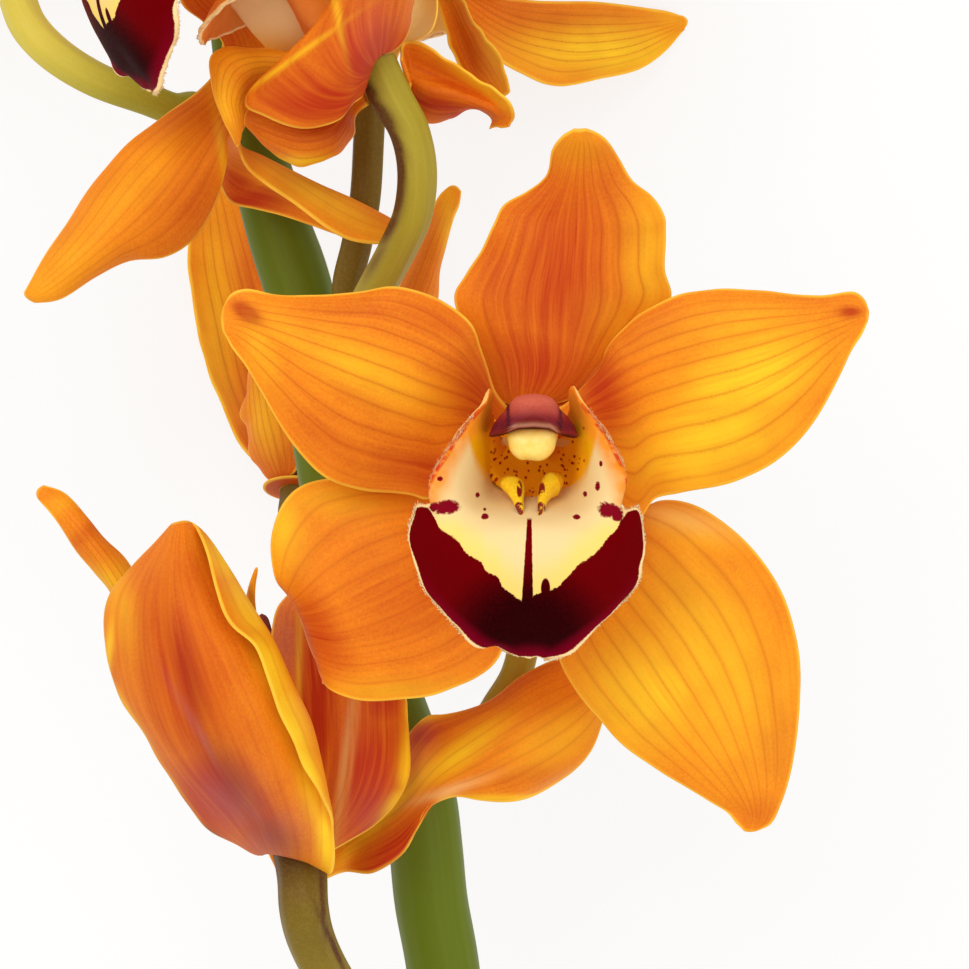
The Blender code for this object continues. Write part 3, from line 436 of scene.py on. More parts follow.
def archSurface(bloom, angle, level, length, width, opening, closing, cup, halfRoot=2.0, phase=0.0):
    # a curve that leaves the axis at one angle and ends at another, as wide as a sine, cupped by a square
    turn = math.radians(angle)
    out = np.array([math.cos(turn), math.sin(turn), 0.0])
    along = np.array([math.sin(turn), -math.cos(turn), 0.0])
    face = np.array([0.0, 0.0, 1.0])

    def surface(t, s):
        steps = np.linspace(0.0, 1.0, archSteps)
        lean = np.radians(opening + (closing - opening) * steps)
        outward, forward = (np.concatenate([[0.0], np.cumsum(part[:-1])]) * length / (archSteps - 1)
                            for part in (np.sin(lean), np.cos(lean)))
        t, s = np.meshgrid(t, s, indexing="ij")
        half = halfRoot * (1 - t) + width / 2 * np.sin(math.pi * t ** 0.8) ** 0.85 + 0.5 * t
        bend = np.radians(opening + (closing - opening) * t)
        share = 2 * s - 1
        reach = bloomSizes["reach"] + np.interp(t, steps, outward)
        height = level + np.interp(t, steps, forward)
        sag = cup * share ** 2 * np.sin(math.pi * t ** 0.8)
        sag = sag + 0.7 * np.abs(share) ** 3 * np.sin(6 * math.pi * t + phase) * np.sin(math.pi * t)
        local = ((reach - sag * np.cos(bend))[..., None] * out + (half * share)[..., None] * along
                 + (height + sag * np.sin(bend))[..., None] * face)
        return bloom.put(local)
    return surface


def rootedLines(name, bloom):
    # a blade's rails in real places, each begun at the blade's root on the ovary
    lines = [placed(line) for line in rails[name]]
    level = bloomSizes["petalLevel"] if "petal" in name else bloomSizes["sepalLevel"]
    start = np.mean([line[0] for line in lines], axis=0) - bloom.hub
    angle = rootAngles.get(name, math.degrees(math.atan2(start @ bloom.up, start @ bloom.side)))
    centre, out = bloom.root(angle, level)
    across = lines[-1][0] - lines[0][0]
    across = unit(across - out * (across @ out))
    for index, line in enumerate(lines):
        line.insert(0, centre + across * bloomSizes["rootHalf"] * (2.0 * index / (len(lines) - 1) - 1.0))
    return lines


# Meshes from arrays

def paint(obj, values):
    # one value at each corner point, under each name
    attributes = obj.data.attributes
    for key, value in values.items():
        attribute = attributes.get(key) or attributes.new(key, "FLOAT", "POINT")
        value = np.broadcast_to(np.ravel(value), len(obj.data.vertices))
        attribute.data.foreach_set("value", value.astype(np.float32))


def finishPiece(name, places, faces, replaced, material, uv=None, values=None):
    # places in mm; faces as a list of arrays of quads or triangles
    mesh = bpy.data.meshes.new(name)
    corners = [face for part in faces for face in part.tolist()]
    mesh.from_pydata((places.reshape(-1, 3) / 1000).tolist(), [], corners)
    mesh.shade_smooth()
    if uv is not None:
        corners = np.empty(len(mesh.loops), dtype=np.int32)
        mesh.loops.foreach_get("vertex_index", corners)
        layer = mesh.uv_layers.new(name="leaf")
        layer.data.foreach_set("uv", uv.reshape(-1, 2)[corners].astype(np.float32).ravel())
    mesh.materials.append(material)
    obj = bpy.data.objects.new(name, mesh)
    paint(obj, values or {})
    bpy.context.scene.collection.objects.link(obj)
    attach(obj, "root")
    if replaced:
        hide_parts(*replaced)
    return obj


def gridFaces(rows, columns, start=0, loop=False, flip=False):
    # quads of a grid of rows by columns, closed round across when it is a loop
    r, c = np.meshgrid(np.arange(rows - 1), np.arange(columns if loop else columns - 1), indexing="ij")
    n = (c + 1) % columns
    here, above = r * columns, (r + 1) * columns
    quads = np.stack([here + c, here + n, above + n, above + c], axis=-1).reshape(-1, 4) + start
    return quads[:, ::-1] if flip else quads


def closedFaces(rings, around):
    # rings joined round into a skin, and a fan to one more point at each end
    count = rings * around
    index = np.arange(around)
    following = (index + 1) % around
    last = count - around
    return [gridFaces(rings, around, loop=True),
            np.stack([following, index, np.full(around, count)], axis=-1),
            np.stack([last + index, last + following, np.full(around, count + 1)], axis=-1)]


def shellFaces(rows, columns):
    # faces of a closed shell: a top grid, a bottom grid and the strips that join them round the edge
    count = rows * columns
    loop = np.concatenate([np.arange(columns), np.arange(1, rows) * columns + columns - 1,
                           count - 2 - np.arange(columns - 1), np.arange(rows - 2, 0, -1) * columns])
    following = np.roll(loop, -1)
    edge = np.stack([following, loop, loop + count, following + count], axis=-1)
    return [gridFaces(rows, columns), gridFaces(rows, columns, count, flip=True), edge]


def marginDistance(middle):
    # distance from the nearer margin of a blade, mm, and from its tip
    across = np.linalg.norm(np.diff(middle, axis=1), axis=2)
    fromLeft = np.concatenate([np.zeros((len(middle), 1)), np.cumsum(across, axis=1)], axis=1)
    along = np.linalg.norm(np.diff(middle, axis=0), axis=2)
    toTip = np.concatenate([np.cumsum(along[::-1], axis=0)[::-1], np.zeros((1, middle.shape[1]))], axis=0)
    return np.minimum(np.minimum(fromLeft, fromLeft[:, -1:] - fromLeft), toTip)


def blobs(spots, column, row):
    # soft patches: each is a column, a row, two half sizes, a turn in degrees and an amount
    total = np.zeros_like(column)
    for x, y, wide, high, turn, amount in spots:
        a = math.radians(turn)
        u = ((column - x) * math.cos(a) - (row - y) * math.sin(a)) / wide
        v = ((column - x) * math.sin(a) + (row - y) * math.cos(a)) / high
        total = np.maximum(total, amount * np.exp(-(u * u + v * v)))
    return total


def shellGrid(rows, columns):
    # t and s of a shell's points, somewhat closer near both margins
    s = np.linspace(0.0, 1.0, columns)
    return np.linspace(0.0, 1.0, rows), 0.4 * (0.5 - 0.5 * np.cos(math.pi * s)) + 0.6 * s


patchKinds = ("yellow", "red", "pale", "brown", "cream")


def shellPiece(name, surface, size, thickness, look, replaced, material, relief=None):
    # a blade with a thin margin: its middle surface moved half its thickness both ways along the normal
    t, s = shellGrid(*size)
    middle = rest(surface(t, s))
    tGrid, sGrid = np.meshgrid(t, s, indexing="ij")
    normal = unit(np.cross(np.gradient(middle, axis=1), np.gradient(middle, axis=0)))
    edge = marginDistance(middle)
    if relief is not None:
        middle = middle + normal * relief(tGrid, sGrid, edge)[..., None]
    half = thickness / 2 * (0.35 + 0.65 * (1 - np.exp(-edge / look.get("marginWidth", 0.8))))
    places = np.concatenate([(middle + normal * half[..., None]).reshape(-1, 3),
                             (middle - normal * half[..., None]).reshape(-1, 3)])
    column, row = viewPoints(middle)
    if look.get("patchesOnLeaf"):
        column, row = sGrid * 100, tGrid * 100
    values = {key: blobs(look.get(key, ()), column, row) for key in patchKinds}
    values.update(edge=edge, vein=(sGrid - 0.5) * look.get("veins", 9) + 0.5)
    values = {key: np.tile(value.ravel(), 2) for key, value in values.items()}
    values["veinless"] = look.get("veinless", 0.0)
    uv = np.tile(np.stack([sGrid, tGrid], axis=-1).reshape(-1, 2), (2, 1))
    return finishPiece(name, places, shellFaces(*size), replaced, material, uv, values)


# Shader maths

class Value:
    # a socket of a material's tree, on which the operators add maths nodes
    def __init__(self, shader, socket):
        self.shader, self.socket = shader, socket

    def maths(self, operation, *others):
        node = self.shader.node("ShaderNodeMath", {"operation": operation}, dict(enumerate((self,) + others)))
        return Value(self.shader, node.outputs[0])

    def __add__(self, other):
        return self.maths("ADD", other)

    def __mul__(self, other):
        return self.maths("MULTIPLY", other)

    def __sub__(self, other):
        return self.maths("SUBTRACT", other)

    def __rsub__(self, other):
        return (self * -1.0) + other

    def __truediv__(self, other):
        return self.maths("DIVIDE", other)

    __radd__ = __add__
    __rmul__ = __mul__

    def step(self, low, high):
        # a soft step that rises from low to high
        inputs = {"Value": self, "From Min": low, "From Max": high}
        node = self.shader.node("ShaderNodeMapRange", {"interpolation_type": "SMOOTHSTEP"}, inputs)
        return Value(self.shader, node.outputs["Result"])

    def limit(self):
        return self.maths("MINIMUM", 1.0).maths("MAXIMUM", 0.0)


class Shader:
    def __init__(self, name, constants):
        self.material = bpy.data.materials.new(name)
        self.material.use_nodes = True
        self.tree = self.material.node_tree
        self.surface = self.tree.nodes["Principled BSDF"]
        for key, value in constants.items():
            self.surface.inputs[key].default_value = value
        self.where = self.node("ShaderNodeTexCoord").outputs["Object"]

    def node(self, kind, settings=None, inputs=None):
        # any node: its settings first, then the values or links of its sockets
        made = self.tree.nodes.new(kind)
        for key, value in (settings or {}).items():
            if key == "curve":
                curve = made.mapping.curves[0]
                for x, y in value[1:-1]:
                    curve.points.new(x, y)
                curve.points[0].location = value[0]
                curve.points[len(value) - 1].location = value[-1]
                made.mapping.update()
            else:
                setattr(made, key, value)
        for key, value in (inputs or {}).items():
            self.feed(made.inputs[key], value)
        return made

    def feed(self, socket, value):
        if isinstance(value, Value):
            self.tree.links.new(value.socket, socket)
        elif isinstance(value, bpy.types.NodeSocket):
            self.tree.links.new(value, socket)
        else:
            socket.default_value = value

    def attribute(self, name):
        return Value(self, self.node("ShaderNodeAttribute", {"attribute_name": name}).outputs["Fac"])

    def leaf(self):
        # across and along a piece, from its own map
        flat = self.node("ShaderNodeUVMap", {"uv_map": "leaf"}).outputs[0]
        split = self.node("ShaderNodeSeparateXYZ", None, {0: flat})
        return Value(self, split.outputs[0]), Value(self, split.outputs[1])

    def vector(self, x, y, z=0.0):
        return self.node("ShaderNodeCombineXYZ", None, {0: x, 1: y, 2: z}).outputs[0]

    def noise(self, scale, detail=2.0, vector=None):
        inputs = {"Scale": scale, "Detail": detail, "Vector": self.where if vector is None else vector}
        return Value(self, self.node("ShaderNodeTexNoise", None, inputs).outputs[0])

    def cells(self, scale, vector=None):
        inputs = {"Scale": scale, "Vector": self.where if vector is None else vector}
        return Value(self, self.node("ShaderNodeTexVoronoi", None, inputs).outputs["Distance"])

    def mix(self, amount, first, second):
        inputs = {0: amount, 6: first, 7: second}
        return self.node("ShaderNodeMix", {"data_type": "RGBA"}, inputs).outputs[2]

    def bump(self, height, strength, distance):
        inputs = {"Strength": strength, "Distance": distance, "Height": height}
        self.feed(self.surface.inputs["Normal"], self.node("ShaderNodeBump", None, inputs).outputs[0])

    def finish(self, colour, roughness):
        self.feed(self.surface.inputs["Base Color"], colour)
        self.feed(self.surface.inputs["Roughness"], roughness)
        return self.material


def shade(red, green, blue):
    # a colour as a screen shows it, in the linear values that a material takes
    c = np.array([red, green, blue]) / 255
    linear = np.where(c <= 0.04045, c / 12.92, ((c + 0.055) / 1.055) ** 2.4)
    return (*linear.tolist(), 1.0)


# Petals and sepals: orange flesh with yellow and red patches, fine red veins and a pale rim

tepalLook = {
    "base": shade(236, 126, 22), "yellow": shade(255, 206, 36), "red": shade(182, 50, 12),
    # brown: thin dark brown lines; on the lower-left front petal also painted shade down its middle valley
    # pale: mauve-grey; on the lower-left front petal it is a painted highlight along the keel
    "pale": shade(176, 96, 100), "brown": shade(96, 34, 20), "cream": shade(252, 220, 150),
    "vein": shade(178, 46, 8), "rim": shade(255, 200, 62), "gloss": 0.46,
}


def tepalMaterial():
    look = tepalLook
    shader = Shader("tepal", {"Specular IOR Level": 0.1})
    across, along = shader.leaf()
    edge, vein = shader.attribute("edge"), shader.attribute("vein")
    broad = shader.noise(160.0, 1.0)
    fine = shader.noise(2600.0, 1.0)
    # long soft streaks: noise stretched along the blade
    streak = shader.noise(1.0, 2.0, shader.vector(vein * 2.6, along * 2.2))
    narrow = shader.noise(1.0, 1.0, shader.vector(vein * 9.0, along * 5.0))
    uneven = (streak - 0.5) * 1.1 + (narrow - 0.5) * 0.5
    red = shader.attribute("red")
    colour = shader.mix((red * (0.85 + uneven)).limit(), look["base"], look["red"])
    colour = shader.mix((shader.attribute("yellow") * (0.85 + uneven)).limit(), colour, look["yellow"])
    colour = shader.mix((uneven * 0.55 + (broad - 0.5) * 0.5 + 0.06).limit(), colour, look["red"])
    # mauve-grey patches; on the lower-left front petal, a painted highlight along the keel
    colour = shader.mix(shader.attribute("pale").limit(), colour, look["pale"])
    colour = shader.mix(shader.attribute("cream").limit(), colour, look["cream"])
    # veins: the distance from the middle of each strip, fainter here and there, with finer ones between
    wander = (shader.noise(3.2, 2.0, shader.vector(across, along)) - 0.5) * 0.5
    strip = ((vein + wander).maths("FRACT") - 0.5).maths("ABSOLUTE")
    second = ((vein * 3.0 + wander * 2.0).maths("FRACT") - 0.5).maths("ABSOLUTE")
    faint = shader.noise(1.0, 2.0, shader.vector(vein * 1.5, along * 9.0)).step(0.25, 0.65)
    inside = edge.step(0.5, 3.0) * (1.0 - shader.attribute("veinless"))
    line = (1.0 - strip.step(0.0, 0.11)) * (0.35 + faint * 0.65) * inside
    halo = (1.0 - strip.step(0.0, 0.36)) * inside * 0.14
    thin = (1.0 - second.step(0.0, 0.3)) * inside * (1.0 - faint) * 0.16
    # dots of red beside the veins
    dots = fine.step(0.56, 0.66) * (1.0 - strip.step(0.05, 0.3)) * inside * 0.22
    colour = shader.mix((line * 0.32 + halo + thin + dots).limit(), colour, look["vein"])
    colour = shader.mix(((fine - 0.35) * 0.4 * (1.0 - red)).limit(), colour, look["yellow"])
    rim = (1.0 - edge.step(0.1, 0.62)) * (0.5 + broad.step(0.3, 0.6) * 0.5)
    colour = shader.mix((rim * 0.8).limit(), colour, look["rim"])
    # brown patches: thin dark lines, and on the lower-left front petal painted shade down its middle valley
    colour = shader.mix(shader.attribute("brown").limit(), colour, look["brown"])
    shader.bump(fine, 0.3, 0.0001)
    return shader.finish(colour, look["gloss"] + fine * 0.16)


# The lip: cream, with maroon below a jagged line, spots, a dotted throat and a cream rim

lipLook = {
    "cream": shade(239, 207, 146), "butter": shade(247, 211, 112), "maroon": shade(104, 0, 4),
    "maroonDark": shade(40, 0, 2), "spot": shade(126, 8, 26), "throat": shade(255, 178, 22),
    "dot": shade(166, 48, 14), "yellow": shade(240, 168, 12), "rim": shade(248, 212, 150),
    "sideRim": shade(206, 62, 22), "sideTint": shade(238, 140, 34), "outside": shade(244, 204, 120),
    "peach": shade(234, 184, 108), "crimson": shade(128, 2, 30), "burnt": shade(224, 112, 28),
    "wallTop": shade(255, 146, 40),
    "jag": 7.0, "knob": (545.3, 587.0, 4.6, 10.0), "darkMiddle": (527.0, 640.0, 92.0, 84.0),
    # the maroon's upper line, as (column, row)
    "boundary": (
        (420, 506), (432.6, 512.3), (441.5, 530), (457.3, 540), (468, 553.8), (482, 561.7), (487, 570.6),
        (497.8, 575.5), (502.8, 585.4), (510.7, 591.3), (519, 597.5), (524, 600), (536.4, 592), (542, 591),
        (554, 587.4), (564, 578.5), (572, 570.6), (578, 563.7), (586, 558.7), (597.6, 549.8), (605.5, 540),
        (615.4, 530), (620, 520), (632, 510)),
    # the throat's lower line
    "throatLine": (
        (480, 440), (489, 470), (493, 480), (503, 488.5), (515, 495), (528, 498.5), (545, 496), (560, 491),
        (575, 484), (586, 472), (596, 440)),
    # the lower line of the golden walls
    "goldLine": (
        (450, 392), (463, 425), (471, 458), (478, 474), (487, 485), (500, 493), (515, 497), (528, 499),
        (545, 497), (562, 492), (577, 487), (587, 479), (593, 463), (598, 440), (606, 392)),
    # spots: column, row and two half sizes
    "spots": (
        (447, 508, 12, 7.5), (436, 507, 5, 5), (609, 511, 10, 8), (616, 516, 6, 6), (475, 496, 2.2, 3),
        (484.6, 519, 4, 3), (484, 512, 1.6, 1.6), (577, 519.5, 4.2, 2.6), (587.5, 495, 2.2, 3.2),
        (600, 487, 2.6, 5), (603, 463.5, 1.6, 3), (439, 479, 2.6, 2.6)),
    "peaches": ((503.5, 441.5, 5, 4), (564, 442, 9, 4.5)),
}


def lipLine(shader, column, points):
    # the row of a line at a column
    left, wide = points[0][0], points[-1][0] - points[0][0]
    top = min(y for _, y in points)
    tall = max(y for _, y in points) - top
    curve = [((x - left) / wide, (y - top) / tall) for x, y in points]
    across = ((column - left) / wide).limit()
    node = shader.node("ShaderNodeFloatCurve", {"curve": curve}, {"Value": across})
    return Value(shader, node.outputs[0]) * tall + top


def oval(column, row, x, y, halfWide, halfHigh):
    # 1 at the middle of an oval, 0 on its line
    return 1.0 - ((column - x) / halfWide).maths("POWER", 2.0) - ((row - y) / halfHigh).maths("POWER", 2.0)


def lipMaterial():
    look = lipLook
    shader = Shader("lip", {"Specular IOR Level": 0.01})
    column, row, edge = shader.attribute("column"), shader.attribute("row"), shader.attribute("edge")
    inner = shader.attribute("inner").step(0.3, 0.7)
    jag = (shader.noise(0.16, 3.0, shader.vector(column, row)) - 0.5) * look["jag"]
    jag = jag + (shader.noise(0.42, 2.0, shader.vector(column, row)) - 0.5) * look["jag"]
    fine = shader.noise(3000.0, 2.0)
    upperLobe = row.step(514.0, 500.0)
    # golden walls round the throat fade to cream
    line = lipLine(shader, column, look["throatLine"])
    aside = (489.0 - column).maths("MAXIMUM", column - 586.0).maths("MAXIMUM", 0.0)
    outside = aside + (row - line).maths("MAXIMUM", 0.0) * 1.7
    below = row - lipLine(shader, column, look["boundary"])
    colour = shader.mix(below.step(-42.0, -4.0) * row.step(505.0, 535.0), look["cream"], look["butter"])
    golden = (lipLine(shader, column, look["goldLine"]) - row + jag * 0.4).step(-9.0, 14.0) * upperLobe
    colour = shader.mix(golden.limit(), colour, look["yellow"])
    colour = shader.mix((golden * row.step(446.0, 420.0) * 0.8).limit(), colour, look["wallTop"])
    throat = (1.0 - (outside + jag * 0.25).step(0.5, 2.6)) * row.step(412.0, 432.0)
    colour = shader.mix(throat.limit(), colour, look["throat"])
    dots = shader.cells(0.2, shader.vector(column, row * 0.8)).step(0.34, 0.2) * throat
    colour = shader.mix(dots.limit(), colour, look["dot"])
    # side lobes: an orange band inside a red blotched margin
    band = (1.0 - edge.step(1.2, 5.2)) * upperLobe * (0.76 + shader.noise(500.0, 2.0).step(0.35, 0.65) * 0.24)
    colour = shader.mix(band.limit(), colour, look["sideTint"])
    blotches = shader.noise(900.0, 2.0).step(0.38, 0.55) * 0.75 + 0.25
    sideRim = (1.0 - edge.step(0.3, 1.0)) * upperLobe * blotches
    colour = shader.mix(sideRim.limit(), colour, look["sideRim"])
    tip = (1.0 - row.step(392.0, 420.0)) * 0.7
    colour = shader.mix(tip.limit(), colour, look["sideTint"])
    # maroon: below its line, with the middle stripe and a knob
    maroon = (below + jag * 0.55).step(-0.9, 0.9)
    stripeHalf = 2.2 + (row - 521.0) * 0.045
    fromStripe = (column - (529.4 - (row - 521.0) * 0.025)).maths("ABSOLUTE")
    stripe = (stripeHalf - fromStripe + jag * 0.12).step(-0.4, 0.5)
    maroon = maroon.maths("MAXIMUM", stripe * row.step(520.0, 523.0))
    maroon = maroon.maths("MAXIMUM", oval(column, row, *look["knob"]).step(-0.2, 0.2))
    spots = None
    for spot in look["spots"]:
        one = (oval(column, row, *spot) + jag * 0.16).step(-0.25, 0.45)
        spots = one if spots is None else spots.maths("MAXIMUM", one)
    colour = shader.mix((spots * inner).limit(), colour, look["spot"])
    for spot in look["peaches"]:
        colour = shader.mix(oval(column, row, *spot).step(-0.2, 0.4) * throat, colour, look["peach"])
    middle = oval(column, row, *look["darkMiddle"]).step(-0.1, 0.9)
    deep = shader.mix((middle + (fine - 0.5) * 0.5).limit(), look["maroon"], look["maroonDark"])
    margin = (1.0 - edge.step(0.9, 4.2)) * row.step(560.0, 620.0) * 0.75
    deep = shader.mix(margin.limit(), deep, look["crimson"])
    colour = shader.mix((maroon * inner).limit(), colour, deep)
    colour = shader.mix((1.0 - inner) * (0.55 + shader.noise(260.0, 2.0) * 0.4), colour, look["outside"])
    burnt = shader.attribute("burnt")
    scorch = (1.0 - inner) * burnt * (0.8 + shader.noise(300.0, 3.0) * 0.4)
    colour = shader.mix(scorch.limit(), colour, look["burnt"])
    rim = (1.0 - (edge + (fine - 0.5) * 0.4).step(0.5, 0.76)) * row.step(498.0, 508.0).maths("MAXIMUM", burnt)
    colour = shader.mix(rim.limit(), colour, look["rim"])
    shader.bump(fine, 0.35, 0.00012)
    return shader.finish(colour, 0.42 + fine * 0.2)


# Stem, pedicels and buds: green skins with faint streaks, tinted brown in places

skinLooks = {
    "stem": {"base": shade(96, 110, 20), "other": shade(112, 124, 36), "tint": shade(96, 88, 22)},
    "pedicel": {"base": shade(168, 150, 44), "other": shade(200, 178, 76), "tint": shade(84, 44, 14)},
    "paleSkin": {"base": shade(206, 184, 70), "other": shade(226, 208, 104), "tint": shade(140, 142, 30)},
    "bud": {"base": shade(176, 160, 60), "other": shade(226, 176, 80), "tint": shade(156, 90, 36)},
}


def skinMaterial(name):
    look = skinLooks[name]
    shader = Shader(name, {"Coat Weight": 0.02, "Coat Roughness": 0.35, "Specular IOR Level": 0.1})
    around, along = shader.leaf()
    streak = shader.noise(1.0, 3.0, shader.vector(around * 9.0, along * 3.0))
    broad = shader.noise(60.0, 2.0)
    fine = shader.noise(2400.0, 2.0)
    colour = shader.mix((streak.step(0.35, 0.8) * 0.3).limit(), look["base"], look["other"])
    colour = shader.mix((shader.attribute("red") * (0.8 + broad * 0.4)).limit(), colour, look["tint"])
    colour = shader.mix(((fine - 0.4) * 0.25).limit(), colour, look["other"])
    shader.bump(streak * 0.35 + fine * 0.3, 0.25, 0.00025)
    return shader.finish(colour, 0.4 + fine * 0.16)


# The column: a dusty red hood, with painted shade in its seams, along its lower edge and under it

columnLook = {
    # a deep red for the painted shade in the seams, along the hood's lower edge and under the cap
    "cap": shade(146, 34, 34), "capPale": shade(200, 92, 68), "dark": shade(70, 6, 26),
    "strip": shade(206, 150, 134), "under": shade(232, 168, 40), "spot": shade(126, 24, 20),
}


def columnMaterial():
    look = columnLook
    shader = Shader("column", {"Specular IOR Level": 0.12})
    fine = shader.noise(2600.0, 2.0)
    pale = shader.attribute("pale") * (0.5 + fine)
    colour = shader.mix(pale.limit(), look["cap"], look["capPale"])
    lower = shader.mix(shader.cells(1500.0).step(0.3, 0.14), look["under"], look["spot"])
    colour = shader.mix(shader.attribute("under").step(0.35, 0.65), colour, lower)
    colour = shader.mix(shader.attribute("strip").limit(), colour, look["strip"])
    # painted shade: darker in the seams, along the lower edge, on the wings, under the cap and over a whole
    # column that has a dusk
    colour = shader.mix((shader.attribute("dark") * (0.7 + fine * 0.6)).limit(), colour, look["dark"])
    shader.bump(fine, 0.3, 0.00012)
    return shader.finish(colour, 0.42 + fine * 0.2)


# Small pieces of two close colours: these, the grain's scale and the roughness, and the colour of any marks

grainLooks = {
    "keel": (shade(255, 218, 40), shade(250, 192, 16), 2600.0, 0.4, shade(128, 14, 14)),
    "pollen": (shade(252, 222, 122), shade(250, 206, 86), 600.0, 0.35),
    "hair": (shade(250, 226, 180), shade(236, 190, 130), 900.0, 0.5),
    "flesh": (shade(168, 184, 92), shade(214, 222, 150), 900.0, 0.6),
    "redHair": (shade(240, 124, 50), shade(255, 214, 160), 900.0, 0.5),
}


def grainMaterial(name):
    first, second, scale, roughness, *marked = grainLooks[name]
    shader = Shader(name, {})
    fine = shader.noise(scale, 2.0)
    colour = shader.mix(fine.step(0.3, 0.7), first, second)
    for tint in marked:
        marks = shader.noise(900.0, 2.0).step(0.34, 0.46) * shader.attribute("red").step(0.35, 0.6)
        colour = shader.mix(marks.limit(), colour, tint)
    shader.bump(fine, 0.3, 0.0001)
    return shader.finish(colour, roughness + fine * 0.15)


materials = {"tepal": tepalMaterial(), "lip": lipMaterial(), "column": columnMaterial()}
materials.update({name: skinMaterial(name) for name in skinLooks})
materials.update({name: grainMaterial(name) for name in grainLooks})
print("materials made")


# Petals and sepals, with their patches in view points: column, row, two half sizes, turn and amount

